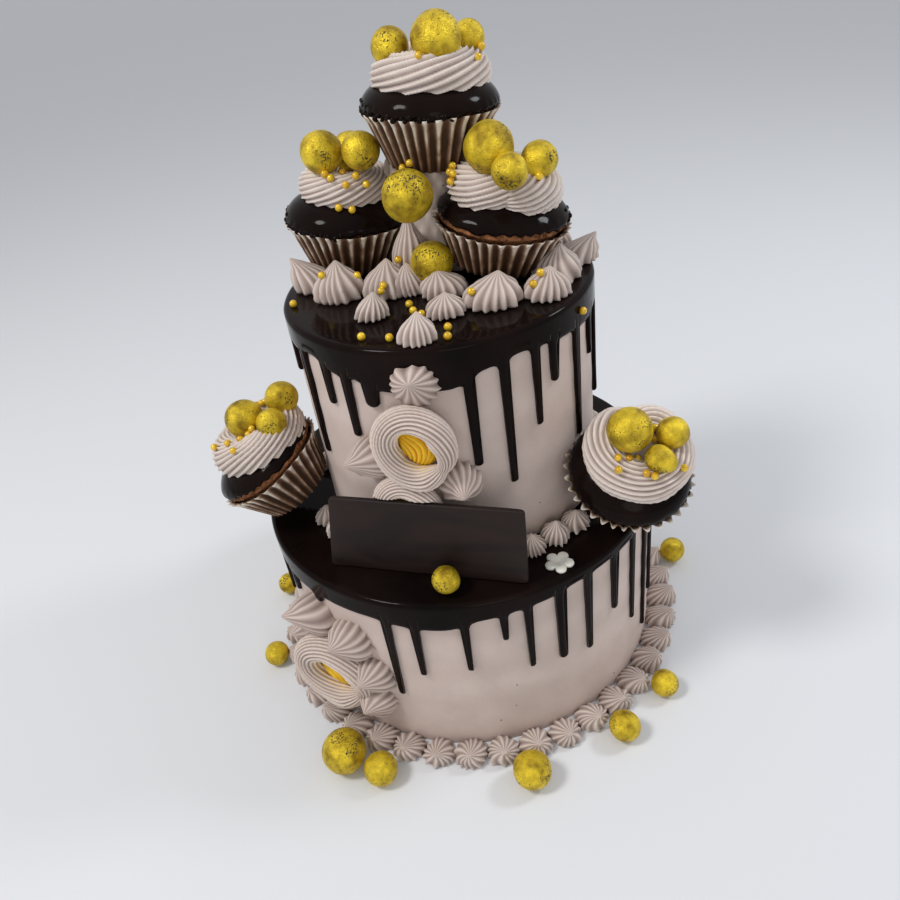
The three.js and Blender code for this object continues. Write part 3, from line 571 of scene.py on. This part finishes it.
def behind_plaque(grid):
    """Cream squashed against the back of the plaque: points inside it or in front of it are moved
    back to a hair behind it. Just above the top edge the limit eases off."""
    matrix = plaque_matrix()
    local = (grid - matrix[:, 3]) @ matrix[:, :3]
    over = np.clip(local[..., 2] - PLAQUE_HEIGHT, 0, None)
    beyond = np.clip(np.abs(local[..., 0]) - PLAQUE_RIGHT["foot"], 0, None)
    limit = PLAQUE_THICKNESS + GAP - 2.5 * over - 2.5 * beyond
    local[..., 1] = np.maximum(local[..., 1], limit)
    return placed(local, matrix)


plaque_chocolate = plaque_chocolate_material()
add_piece("plain_plaque", [plaque_sheet()], plaque_chocolate, ["chocolate_plaque"])

# Piped stars. Stiff buttercream from a many-toothed star nozzle pressed down and pulled away: a
# scalloped foot, rounded ridges with narrow grooves between, and a drawn tip that may lean.
STAR_RIDGES = 14
STAR_GROOVE = 0.27


def ridged(angle, ridges, sharp=0.55):
    """Ridge height round a circle, from 0 in a groove to 1 on a crest. It mixes round crests over
    narrow grooves with sharp crests over round hollows, by the share of the sharp ones."""
    half = ridges * angle / 2
    return (1 - sharp) * np.abs(np.sin(half)) + sharp * (1 - np.abs(np.cos(half)))


def star_sheet(radius, height, lean, foot, seed, groove):
    """A piped star and its shade. It is a dome that narrows into a small drawn tip, with a frilled
    foot. Its ridges are deepest just above the foot, turn a little and fade into the tip, and some
    stand out less than others."""
    ridges = STAR_RIDGES
    share = np.linspace(0, 1, 17)[:, None]
    angle = circle(ridges * 6)
    uneven = angle + 0.13 * np.sin(2 * angle + seed) + 0.07 * np.sin(3 * angle + 2.3 * seed)
    swirl = 0.28 * math.sin(1.3 * seed) + 0.08
    wound = uneven + swirl * share
    crest = ridged(wound, ridges, 0.85)
    which = np.mod(np.floor(wound * ridges / (2 * np.pi)), ridges)
    low = 0.5 + 0.5 * np.sin(12.9 * which + 3 * seed)
    depth = groove * (1 - 0.8 * share**2)
    outline = (1 - share**2.5) ** 0.78 + 0.05 * share
    flare = 0.07 * crest * np.exp(-share / 0.1) - 0.1 * np.exp(-share / 0.02)
    lobes = 1 + 0.04 * np.sin(3 * angle + seed) + 0.03 * np.sin(5 * angle + 1.7 * seed)
    ruffle = 1 - 0.13 * low * crest * (1 - share) ** 2
    reach = radius * (outline + flare) * (1 - depth * (1 - crest)) * lobes * ruffle
    nub = np.clip((share - 0.86) / 0.14, 0, 1) ** 1.5
    rise = foot + (height - foot) * (0.86 * share + 0.14 * nub)
    bend = np.clip(rise / height, 0, 1) ** 2
    x = reach * np.cos(angle) + lean[0] * bend
    y = reach * np.sin(angle) + lean[1] * bend
    # Shade paints shade into the grooves between the ridges and painted light that grows towards the tip.
    shade = np.clip(0.04 + 0.78 * crest**0.85 + 0.15 * share**2, 0, 0.85) + 0 * x
    return np.stack([x, y, rise + 0 * x], axis=-1), shade


def on_ring(tier, azimuth, height, distance):
    """The matrix of something that stands on the level at an azimuth and distance from a tier's
    axis, its own x axis pointing outwards."""
    a = math.radians(azimuth)
    c, s = math.cos(a), math.sin(a)
    x, y = tier["x"] + distance * c, tier["y"] + distance * s
    return np.array([[c, -s, 0, x], [s, c, 0, y], [0, 0, 1, height]])


def on_wall(tier, azimuth, height):
    """The matrix of something fixed to a tier's wall: x along the wall, y up and z outwards."""
    a = math.radians(azimuth)
    c, s = math.cos(a), math.sin(a)
    x, y = tier["x"] + tier["radius"] * c, tier["y"] + tier["radius"] * s
    return np.array([[-s, 0, c, x], [c, 0, s, y], [0, 1, 0, height]])


def at(x, y, z):
    """The matrix of something moved without turning."""
    return np.array([[1, 0, 0, x], [0, 1, 0, y], [0, 0, 1, z]], float)


def star_cluster(stars, groove=STAR_GROOVE):
    """Skins and shades of many stars, given as (matrix, radius, height, lean, foot) tuples, with
    grooves as deep as a share of the radius."""
    sheets, shades = [], []
    for index, (matrix, radius, height, lean, foot) in enumerate(stars):
        sheet, shade = star_sheet(radius, height, lean, foot, 1.9 * index + radius, groove)
        sheets.append(placed(sheet, matrix))
        shades.append(shade)
    return sheets, shades


# The border round the foot of the lower tier: 42 stars side by side, tips drawn out and up.
border_count = 42
k = np.arange(border_count)
border_azimuths = -89 + 360 / border_count * k
border_sizes = 10.3 + 0.2 * np.sin(1.7 * k)
border_heights = 11.5 + np.sin(2.3 * k)
border_stars = [
    (on_ring(LOWER, a, 0, 120.3), size, height, (8.0, 0.0), 0.0)
    for a, size, height in zip(border_azimuths, border_sizes, border_heights)
]
sheets, shades = star_cluster(border_stars, groove=0.2)
add_piece("foot_border_piping", sheets, piped_cream, ["foot_border"], shades)

# The border on the step, in two runs that the leaning cupcakes part.
for run, (first, last, count) in enumerate([(-158, -51, 12), (-13, 164, 19)], start=1):
    k = np.arange(count)
    azimuths = first + (last - first) * k / (count - 1)
    step_stars = [
        (on_ring(UPPER, a, STEP, 85.7), size, height, (1.0, 0.0), 0.0)
        for a, size, height in zip(azimuths, 8.3 + 0.2 * np.sin(1.9 * k), 11 + np.sin(2.7 * k))
    ]
    sheets, shades = star_cluster(step_stars)
    sheets = [behind_plaque(sheet) for sheet in sheets]
    add_piece(f"step_border_{run}_piping", sheets, piped_cream, [f"step_border_{run}"], shades)

# Cream on the upper tier: stars that fill in round the cupcakes, a ridged mound that carries the
# top cupcake, a ring of stars round the back, and two loose stars on the glaze in front.
TOP = UPPER["top"] + GAP + GLAZE_TOP + GAP
# Each star: x, y, radius, height, and how far its tip leans along x and y.
FRONT_STARS = [
    (-59.5, 8, 12.5, 15, -11, 7), (-46, -8.5, 14.5, 17, 0, 5), (-22.5, -12.6, 13, 16, 2, 4),
    (-11, -15.2, 10, 14, 0, 2), (-8, 0, 11, 33, 1, 0), (6, -23, 13, 12, -3, 1),
    (5.2, -46.5, 10.5, 10, 0, 0), (27.5, -42, 15.6, 13.5, 4, 3), (52.5, -43, 12, 12.5, 3, 3),
    (62, -24, 13, 15, 2, 4), (74, -6, 12.2, 11, 12, 5),
]
LOOSE_STARS = [(-29.8, -38, 8.8, 11, 2, 2), (-9.3, -70.5, 9.6, 12.5, 1, 2)]
top_stars = [(at(x, y, TOP), r, h, (lx, ly), 0.0) for x, y, r, h, lx, ly in FRONT_STARS]
for k in range(9):
    size = 11.6 + 0.6 * math.sin(2.1 * k)
    top_stars.append((on_ring(UPPER, 13 + 17.6 * k, TOP, 65), size, 14, (-2.0, 0.0), 0.0))
sheets, shades = star_cluster(top_stars)
# The stars on the top are painted a tenth darker all over: painted shade.
shades = [0.9 * shade for shade in shades]


def mound_sheet():
    """The ridged mound under the top cupcake: a waisted column whose ridges wind round it."""
    heights = np.array([0, 6, 14, 22, 30, 38, 45, 50, 53, 55, 56], float)
    radii = np.interp(heights, [0, 30, 50, 55, 56], [25, 20, 24, 22, 12])
    z, a = heights[:, None], circle(144)
    crest = ridged(a + 0.02 * z, 18)
    reach = radii[:, None] * (1 - 0.09 * (1 - crest))
    # Shade is painted shade in the grooves between the mound's ridges.
    return polar(reach, a, TOP + z, 8, 25), 0.2 + 0.8 * crest


mound, mound_shade = mound_sheet()
sheets.append(mound)
shades.append(mound_shade)
add_piece("top_cream_piping", sheets, piped_cream, ["top_cream"], shades)
for number, (x, y, radius, height, lean_x, lean_y) in enumerate(LOOSE_STARS, start=1):
    sheets, shades = star_cluster([(at(x, y, TOP), radius, height, (lean_x, lean_y), 0.0)])
    add_piece(f"top_star_{number}_piping", sheets, piped_cream, [f"top_star_{number}"], shades)

# Cupcakes. A greaseproof paper case round a chocolate sponge, glaze over its dome, and a swirl of
# buttercream. Three stand on the upper tier, and two lean on the step.
CASE_HEIGHT = 26
CASE_TAPER = 11.5
DOME_HEIGHT = 14
DOME_FROM = 27
PLEATS = 34
# Base is where a cupcake's axis starts, foot how far up it the case does, and bare the height
# of sponge that shows. Swirl is its radius, top, start and twist, in the cupcake's own frame
# like the pearls. Drops are the first azimuth, the last one and the number of them.
CUPCAKES = [
    {
        "base": (10, 20, 286), "tilt": 4.5, "towards": 0, "rim": 32.5, "foot": 0, "bare": 0,
        "swirl": (29.5, 52.2, 150, -0.6), "shift": (0.5, 0), "turn": 0,
        "pearls": [(-4.8, -21.7, 50.5), (21.9, -15, 47.6), (24.9, -4.4, 50.6)],
        "drops": (-185, -70, 40),
    },
    {
        "base": (-41, 31, 236), "tilt": 6.5, "towards": -10, "rim": 31.5, "foot": 1.2, "bare": 0,
        "swirl": (25, 53, 140, -0.9), "shift": (0, 0), "turn": 0,
        "pearls": [
            (-8.6, -19.1, 53.6), (-5.8, -20, 51.9), (-0.2, -13.7, 52.7), (6.5, -20.5, 52.8),
            (1.5, -23, 49.2), (11.4, -21.8, 48.9), (-2.9, -24.6, 38.8), (3.6, -25.8, 38),
        ],
        "drops": (-195, -95, 40),
    },
    {
        "base": (35, -1, 234.8), "tilt": 10.5, "towards": -22, "rim": 32.5, "foot": 4.2, "bare": 3,
        "swirl": (28.5, 53, -108, -0.9), "shift": (0, 0), "turn": 0,
        "pearls": [
            (-27.1, -2.5, 48.5), (-25.8, 1.5, 50), (-26.2, -6.5, 49), (-27.2, -7.9, 45.9),
            (12.5, -17.5, 52.6),
        ],
        "drops": (-20, 20, 10),
    },
    {
        "base": (-91, -19, 126.5), "tilt": 30, "towards": 177, "rim": 31, "foot": 2.5, "bare": 3,
        "swirl": (28, 51, 70, -0.9), "shift": (5, 0), "turn": 12,
        "pearls": [
            (13.5, 12.5, 51.6), (16.5, 12, 51), (19, 11.5, 50.6), (-7.5, 17.5, 51.5),
            (-11.4, -9.1, 54.1), (13, -10.9, 50.3), (9.5, -11.1, 49.2), (5.2, -13.5, 50.5),
            (-1.5, -13.7, 52.9), (1.8, -21.1, 50.3),
        ],
        "drops": (150, 190, 9),
    },
    {
        "base": (83.2, -58.6, 121.4), "tilt": 27.5, "towards": -80, "rim": 29.5, "foot": 1.6, "bare": 0,
        "swirl": (27.5, 54, 75, -0.25), "shift": (1.5, 2.5), "turn": 0,
        "pearls": [
            (8.9, 9.1, 53), (8.8, 4.1, 50), (13, -6, 52), (-12.6, -5.9, 54.6), (-6.8, -5.7, 52.5),
            (-2.2, -5, 49.9), (-13.9, -12.4, 54.7), (-1.2, -15.5, 54.6), (2.2, -17.4, 55),
            (17.9, -13.5, 52.5),
        ],
        "drops": (25, -45, 20),
        "flare": 3.0,
    },
]


def cupcake_matrix(cupcake):
    """The matrix from a cupcake's own frame: its z axis leans by tilt towards an azimuth, turned
    the shortest way, and its base is moved to place."""
    tilt, towards = math.radians(cupcake["tilt"]), math.radians(cupcake["towards"])
    axis = np.array([math.sin(tilt) * math.cos(towards), math.sin(tilt) * math.sin(towards), math.cos(tilt)])
    hinge = np.cross([0, 0, 1], axis)
    skew = np.array([[0, -hinge[2], hinge[1]], [hinge[2], 0, -hinge[0]], [-hinge[1], hinge[0], 0]])
    turn = np.eye(3) + skew + skew @ skew / (1 + axis[2])
    return np.column_stack([turn, cupcake["base"]])


def paper_material():
    """Greaseproof paper: pale tan on the outer folds and painted shade that darkens it to dark brown in the
    grooves, which the mesh attribute shade marks, with fibres and blotches."""
    made, tree, shader, place = new_material("greaseproof_paper")
    shade = node(tree, "Attribute", output="Fac", attribute_name="shade")
    blotch = node(tree, "TexNoise", {"Vector": place, "Scale": 130.0, "Detail": 4.0})
    shifted = node(tree, "Math", [blotch, 0.5], operation="SUBTRACT")
    mixed = node(tree, "Math", [shifted, 0.9, shade], operation="MULTIPLY_ADD")
    # The browns fall where shade is low, painted shade in the grooves, with the blotches mixed in; the pale
    # tan is the paper on the outer folds.
    paper_and_shade_stops = [(0.12, "#3a2614"), (0.4, "#5e4131"), (0.68, "#8e7259"), (0.95, "#dcd1c3")]
    tone = node(tree, "ValToRGB", [mixed], stops=paper_and_shade_stops)
    fibres = node(tree, "TexNoise", {"Vector": place, "Scale": 700.0, "Detail": 3.0})
    relief = node(tree, "Bump", {"Height": fibres, "Distance": 0.0004, "Strength": 0.25})
    looks = {"Base Color": tone, "Roughness": 0.6, "Normal": relief, "Specular IOR Level": 0.3}
    set_inputs(tree, shader, looks)
    return made


def sponge_material():
    """Baked chocolate sponge: open brown crumb of uneven tone, darkest in the pores, where painted shade
    falls.
    """
    made, tree, shader, place = new_material("chocolate_sponge_crumb")
    crumb = node(tree, "TexNoise", {"Vector": place, "Scale": 420.0, "Detail": 5.0, "Roughness": 0.7})
    # The dark end of the crumb's tone falls where the bump sinks the pores: painted shade in them.
    tone = node(tree, "ValToRGB", [crumb], stops=[(0.35, "#4a2a16"), (0.65, "#a8714a")])
    relief = node(tree, "Bump", {"Height": crumb, "Distance": 0.0015, "Strength": 0.6})
    looks = {"Base Color": tone, "Roughness": 0.9, "Normal": relief, "Specular IOR Level": 0.2}
    set_inputs(tree, shader, looks)
    return made


case_paper = paper_material()
sponge_crumb = sponge_material()


def case_sheet(cupcake):
    """The pleated case and its shade: a cone whose rounded folds deepen to a flared, scalloped
    rim, with its inner side a paper's thickness in, closed along the foot."""
    rim, foot = cupcake["rim"], cupcake["foot"]
    base = rim - CASE_TAPER * (1 - foot / CASE_HEIGHT)
    a = circle(PLEATS * 8)
    rise = np.linspace(0, 1, 14)[:, None]
    wander = a + 0.03 * np.sin(3 * a) + 0.012 * np.sin(7 * a + 1)
    fold = 0.5 + 0.5 * np.cos(PLEATS * wander)
    deep = 1.7 + 0.5 * rise
    brim = np.clip(rise - 0.85, 0, 1) / 0.15
    flare = cupcake.get("flare", 1.3) * brim * (0.6 + 0.4 * fold)
    reach = base + (rim - base) * rise + 1.0 - deep * (1 - fold) + flare
    ripple = 0.55 * fold - 0.5 + 0.25 * np.sin(5 * a + rim)
    z = foot + (CASE_HEIGHT - foot) * rise + ripple * np.clip(rise - 0.8, 0, 1) / 0.2
    outer = polar(reach, a, z)
    thin = 0.35
    inner = polar(reach - thin, a, z)[::-1]
    floor = inner[-1:] * [0.5, 0.5, 1] + [0, 0, thin]
    under = outer[:1] * [0.5, 0.5, 1]
    # Shade is painted shade in the grooves between the folds; it is also darker towards the foot and pale
    # towards the rim. The inner side is painted at 0.6 of it, painted shade inside the case, until it pales
    # at the brim.
    pale_rim = 0.4 * np.clip(rise - 0.72, 0, 1) / 0.28
    shade = np.clip(fold**1.5 * (0.6 + 0.35 * rise) + pale_rim, 0, 1)
    grids = [under, outer, inner, floor]
    marks = [shade[:1], shade, (0.6 * shade + 0.4 * brim)[::-1], shade[:1]]
    return np.concatenate(grids), np.concatenate(marks)


def dome_points(rim, grow, angles):
    """Radius and height of the dome over the sponge at angles in degrees above its edge."""
    a = np.radians(angles)
    return (rim - 0.8 + grow) * np.cos(a), DOME_FROM + (DOME_HEIGHT + grow) * np.sin(a)


def turned_sheet(radii, heights, wobble):
    """A profile of radii and heights turned round the z axis, with wobble, a grid as wide as the
    skin, added to the radius."""
    reach = np.asarray(radii)[:, None] + wobble
    return polar(reach, circle(wobble.shape[1]), np.asarray(heights)[:, None])


def sponge_sheet(cupcake, seed):
    """The sponge: it fills the case and rises over it in a dome, with a crumbly uneven skin."""
    rim, foot = cupcake["rim"], cupcake["foot"]
    base = rim - CASE_TAPER * (1 - foot / CASE_HEIGHT)
    dome_radii, dome_heights = dome_points(rim, -0.1, np.linspace(0, 84, 16))
    radii = np.concatenate([[base * 0.4, base - 2.4, rim - 2.4], dome_radii])
    heights = np.concatenate([[foot + 1.1, foot + 1.1, CASE_HEIGHT + 0.2], dome_heights])
    random = np.random.default_rng(seed)
    rough = random.normal(0, 0.16, (len(radii), 160))
    rough = rough + 0.5 * np.roll(rough, 1, axis=1)
    rough[:3] = 0
    return turned_sheet(radii, heights, rough)


def cup_glaze_sheet(cupcake, seed):
    """The glaze on a dome: a smooth cap with a thick rolled lip that hangs unevenly over the edge
    in small beads, which come and go round it."""
    rim, bare = cupcake["rim"], cupcake["bare"]
    start = math.degrees(math.asin((bare + 0.4) / DOME_HEIGHT))
    a = circle(192)
    rise = np.linspace(0, 1, 26) ** 1.7
    over = start + 1 + (85 - start) * rise
    radii, heights = dome_points(rim, 1.85, over)
    beads = np.sin(14 * a + seed + 2.2 * np.sin(3 * a + seed)) ** 2
    bulge = np.exp(-(((over - start - 5) / 5.5) ** 2))[:, None]
    hang = np.exp(-(((over - start) / 6) ** 2))[:, None]
    slow = 0.5 * np.sin(4 * a + seed) + 0.35 * np.sin(9 * a + 2 * seed)
    cap = turned_sheet(radii, heights, (0.35 * beads - 0.1) * bulge)
    cap[..., 2] -= (0.7 * beads + slow) * hang
    lip_radii, lip_heights = dome_points(rim, 0.9, np.array([start - 3.0]))
    inner_radii, inner_heights = dome_points(rim, 0.15, np.array([start, 40, 80]))
    lip = turned_sheet(lip_radii + 0.2, lip_heights, 0.5 * beads)
    lip[..., 2] -= 1.0 * beads + slow
    inner = turned_sheet(inner_radii, inner_heights, 0.0 * a)
    return np.concatenate([inner[::-1], lip, cap])


def lip_beads(cupcake, seed):
    """Drops of glaze that set along the lip: one row from the first azimuth to the last, uneven
    in size and step, and a second smaller row above its first third where the glaze frothed."""
    first, last, count = cupcake["drops"]
    k = np.arange(count)
    azimuths = np.radians(first + (last - first) * (k + 0.35 * np.sin(5 * k)) / (count - 1))
    edge = math.degrees(math.asin((cupcake["bare"] + 0.4) / DOME_HEIGHT))
    beads = []
    for row, amount in enumerate([count, count // 3]):
        reach, height = dome_points(cupcake["rim"], 1.2, edge - 4 + 13 * row)
        for a, number in zip(azimuths[:amount], k):
            size = (1.15 - 0.25 * row) * (1 + 0.45 * math.sin(2.7 * number + seed + row))
            drop = 0.8 * math.sin(1.9 * number + 2 * row)
            centre = (reach * math.cos(a), reach * math.sin(a), height - drop)
            beads.append(ball_sheet(size, centre, number, rows=7, columns=14))
    return beads


def rope_ring(
    radius, top, start, twist, ridges=21, flat=1.0, thick=0.40,
    turns=1.18, spin=1, climb=0.3, squeeze=0.0, axis=0,
):
    """Cream piped in a ring: a ridged rope whose middle runs round a circle, or round an oval
    squeezed across an axis, and then climbs inwards over its own beginning. Its ridges wind round
    it by twist turns for each time round. Returns the skin, z up to the ring's top, and its shade."""
    rows, fine = 132, 5
    t = np.linspace(0, 1, rows)[:, None]
    u = circle(ridges * fine)
    angle = math.radians(start) + spin * 2 * np.pi * turns * t
    late = np.clip((t - 0.78) / 0.22, 0, 1)
    swell = np.clip(t / 0.10, 0, 1) ** 0.5 * (1 - 0.72 * late**1.6)
    rope = radius * thick * np.maximum(swell, 0.12)
    oval = squeeze * np.sin(angle - math.radians(axis)) ** 2
    centre = radius * (1 - thick - oval) - radius * climb * late**1.3
    lift = 0.2 * radius * climb / 0.3 * late * (1 - late)
    crest = ridged(u + 2 * np.pi * twist * turns * t + 0.08 * np.sin(9 * t + 2 * u), ridges)
    ripple = 1 + 0.02 * np.sin(7 * t * 2 * np.pi + 2 * u) + 0.012 * np.sin(31 * t + 3 * u)
    reach = rope * (1 - 0.19 * (1 - crest)) * ripple
    across = centre + reach * np.cos(u)
    z = top - radius * thick * flat + reach * np.sin(u) * flat + lift
    # Shade is painted shade in the grooves between the ridges.
    return polar(across, angle, z), np.clip(0.08 + 1.15 * crest, 0, 1)


def turned_about_y(grid, degrees, pivot):
    """A grid turned about the y axis through a height on the z axis."""
    a = math.radians(degrees)
    x, y, z = grid[..., 0], grid[..., 1], grid[..., 2] - pivot
    across = x * math.cos(a) + z * math.sin(a)
    up = z * math.cos(a) - x * math.sin(a)
    return np.stack([across, y, pivot + up], axis=-1)


for number, cupcake in enumerate(CUPCAKES, start=1):
    name = f"cupcake_{number}"
    matrix = cupcake_matrix(cupcake)
    case, case_shade = case_sheet(cupcake)
    case = placed(case, matrix)
    add_piece(f"{name}_pleats", [case], case_paper, [f"{name}_case"], [case_shade])
    sponge = placed(sponge_sheet(cupcake, number), matrix)
    add_piece(f"{name}_crumb", [sponge], sponge_crumb, [f"{name}_sponge"])
    caps = [cup_glaze_sheet(cupcake, 1.3 * number)] + lip_beads(cupcake, number)
    caps = [placed(cap, matrix) for cap in caps]
    add_piece(f"{name}_cap", caps, glaze_chocolate, [f"{name}_glaze"])
    ring, ring_shade = rope_ring(*cupcake["swirl"])
    radius, top = cupcake["swirl"][:2]
    pivot = CASE_HEIGHT + 10
    radii = np.array([0.55, 0.5, 0.35, 0.12]) * radius
    heart = turned_sheet(radii, top - np.array([14, 7.5, 5.5, 5]), np.zeros((4, 90)))
    turned = [turned_about_y(skin, cupcake["turn"], pivot) for skin in (ring, heart)]
    skins = [placed(skin + [*cupcake["shift"], 0], matrix) for skin in turned]
    # The heart inside the swirl is painted at a fixed 0.6, between the cream and its shadow colour: painted
    # shade in the swirl's opening.
    marks = [ring_shade, np.full(heart.shape[:2], 0.6)]
    add_piece(f"{name}_swirl", skins, piped_cream, [f"{name}_cream"], marks)
    beads = [placed(bead, matrix) for bead in pearl_sheets(cupcake["pearls"])]
    add_piece(f"{name}_pearls", beads, pearl_sugar)

# Pearls pressed into the cream of the upper tier, by their centres.
CREAM_PEARLS = [
    (-53.2, -9.8, 247.4), (-35.8, -9.7, 244.6), (-14.6, -7.1, 248.6), (-23.2, -22.1, 242.5),
    (-24.6, -24.4, 240.6), (17.7, -45.4, 242.5), (50.5, -44, 246.1), (46.3, -47.2, 242.5),
    (-5.5, 2.7, 289.5), (-1.7, -0.4, 291.9),
]
add_piece("cream_pearls", pearl_sheets(CREAM_PEARLS), pearl_sugar)

# Rosettes and stars on the walls. A rosette is a thick rope of many fine folds coiled into an oval,
# with a heart of yellow-coloured buttercream piped inside it.
# Each rosette: azimuth, height, radius, depth, turn to one side, axis of its oval. Each star:
# azimuth, height, radius, depth, and how far its tip leans along the wall and up.
WALL_ROSETTES = [(-104.7, 186, 23.5, 15, 0, -70), (-111, 147.5, 21, 12, 0, -70)]
WALL_STARS = [(-102.7, 216, 12.5, 11, 0, 6), (-122.5, 174, 12.5, 15, -9, 2), (-92.5, 161, 12, 13, 1, -2)]
SIDE_ROSETTES = [(-136, 45, 27.5, 16, 17, -50)]
SIDE_STARS = [
    (-140.5, 80, 14.5, 19, -8, 6), (-128, 74, 14.5, 15, -4.5, 2), (-122.5, 51.5, 13, 13, -4, 0),
    (-124, 29, 13, 13, -2, -1), (-148.5, 60, 12.5, 14, -3, -3), (-149, 33, 13, 14, 0, 0),
]


def rosette_sheets(radius, depth, axis):
    """A rosette lying in its own frame, z outwards: the coiled rope, flattened to the depth, and in its
    opening the yellow heart, a low mound with ridges along the oval's axis. Shade runs up to 1 where the
    colour is yellow and orange; its low values on the rope and base are painted shade, and the deeper orange
    in the heart's grooves is painted shade too."""
    thick = 0.29
    flat = depth / (2 * thick * radius)
    ring, crest = rope_ring(
        radius, depth, -38, 0.4, 20, flat, thick, turns=1.06, spin=-1, climb=0.0, squeeze=0.12, axis=axis
    )
    c, s = math.cos(math.radians(axis)), math.sin(math.radians(axis))
    along = (ring[..., 0] * c + ring[..., 1] * s) / (0.52 * radius)
    across = (ring[..., 1] * c - ring[..., 0] * s) / (0.34 * radius)
    tint = np.clip(1.15 - np.hypot(along, across), 0, 1)
    # Shade on the rope is painted shade in its grooves, with the yellow dye of its inner flank added on top.
    ring_shade = 0.45 * crest + 0.8 * tint
    a = circle(96)
    rho = np.linspace(1, 0.02, 18)[:, None]
    x, y = 0.55 * radius * rho * np.cos(a), 0.36 * radius * rho * np.sin(a)
    fold = np.abs(np.sin(np.pi * (y + 1.7 * x**2 / radius) / (0.115 * radius)))
    z = depth * (0.1 + 0.44 * np.sqrt(1 - 0.98 * rho**2)) + 1.5 * fold * np.sqrt(1 - rho**2)
    heart = np.stack([x * c - y * s, x * s + y * c, z], axis=-1)
    heart = np.concatenate([heart[:1] * [1, 1, 0], heart])
    # On the heart, shade is 0.67 on a fold's crest and 1.0 in its grooves, where the deeper orange is
    # painted shade.
    heart_shade = 1.0 - 0.33 * np.concatenate([fold[:1], fold])
    base = turned_sheet(np.array([0.62, 0.6, 0.3]) * radius, [-3.0, 0.3, 0.5], np.zeros((3, 60)))
    # The base under the rope is painted at 0.3, darker than the cream: painted shade round the rope.
    return [ring, heart, base], [ring_shade, heart_shade, np.full((3, 60), 0.3)]


def wall_flower(name, tier, rosettes, stars):
    """One piece of rosettes and stars on a wall, standing for the node of that name."""
    sheets, shades = [], []
    for azimuth, height, radius, depth, turn, axis in rosettes:
        own, own_shades = rosette_sheets(radius, depth, axis)
        for sheet, shade in zip(own, own_shades):
            sheets.append(placed(turned_about_y(sheet, turn, 0), on_wall(tier, azimuth, height)))
            shades.append(shade)
    listed = [
        (on_wall(tier, azimuth, height), radius, depth, (lean_x, lean_y), -2.0)
        for azimuth, height, radius, depth, lean_x, lean_y in stars
    ]
    star_skins, star_shades = star_cluster(listed, groove=0.17)
    sheets += star_skins
    # The stars on the walls are painted darker than the rosettes' ridges and never reach the full cream
    # colour: painted shade.
    shades += [0.42 * shade for shade in star_shades]
    if tier is UPPER:
        sheets = [behind_plaque(sheet) for sheet in sheets]
    add_piece(f"{name}_piping", sheets, rosette_cream, [name], shades)


wall_flower("wall_rosettes", UPPER, WALL_ROSETTES, WALL_STARS)
wall_flower("side_rosettes", LOWER, SIDE_ROSETTES, SIDE_STARS)

# Sugar flower. Five round petals pressed from white sugar paste in a plunger cutter, cupped a
# little, with a dimple at the heart.


def sugar_paste_material():
    """White sugar paste: matte, slightly warm, faintly dusty."""
    made, tree, shader, place = new_material("white_sugar_paste")
    dust = node(tree, "TexNoise", {"Vector": place, "Scale": 350.0, "Detail": 3.0})
    tone = node(tree, "ValToRGB", [dust], stops=[(0.0, "#dddccf"), (1.0, "#f3f2ea")])
    set_inputs(tree, shader, {"Base Color": tone, "Roughness": 0.6})
    set_inputs(tree, shader, {"Subsurface Weight": 0.1, "Subsurface Scale": 0.002})
    return made


def flower_sheet():
    """Petals as rings: the outline swells five times round, and the surface rises from a dimple
    to the middle of each petal and falls to a thin edge."""
    a = circle(100)
    petal = np.abs(np.cos(2.5 * (a + 0.3)))
    outline = 3.9 + 3.7 * petal**0.55
    share = np.array([0.5, 0.97, 1.0, 0.97, 0.85, 0.6, 0.4, 0.25, 0.12])[:, None]
    height = np.array([0.0, 0.0, 0.9, 1.6, 2.1, 2.2, 1.7, 1.1, 0.8])[:, None]
    crease = 0.5 * (1 - petal) * np.sin(np.pi * share)
    z = height - np.where(height > 0.5, crease, 0)
    return polar(outline * share, a, z)


flower = flower_sheet() + np.array([43.2, -95.1, STEP])
add_piece("pressed_flower", [flower], sugar_paste_material(), ["sugar_flower"])
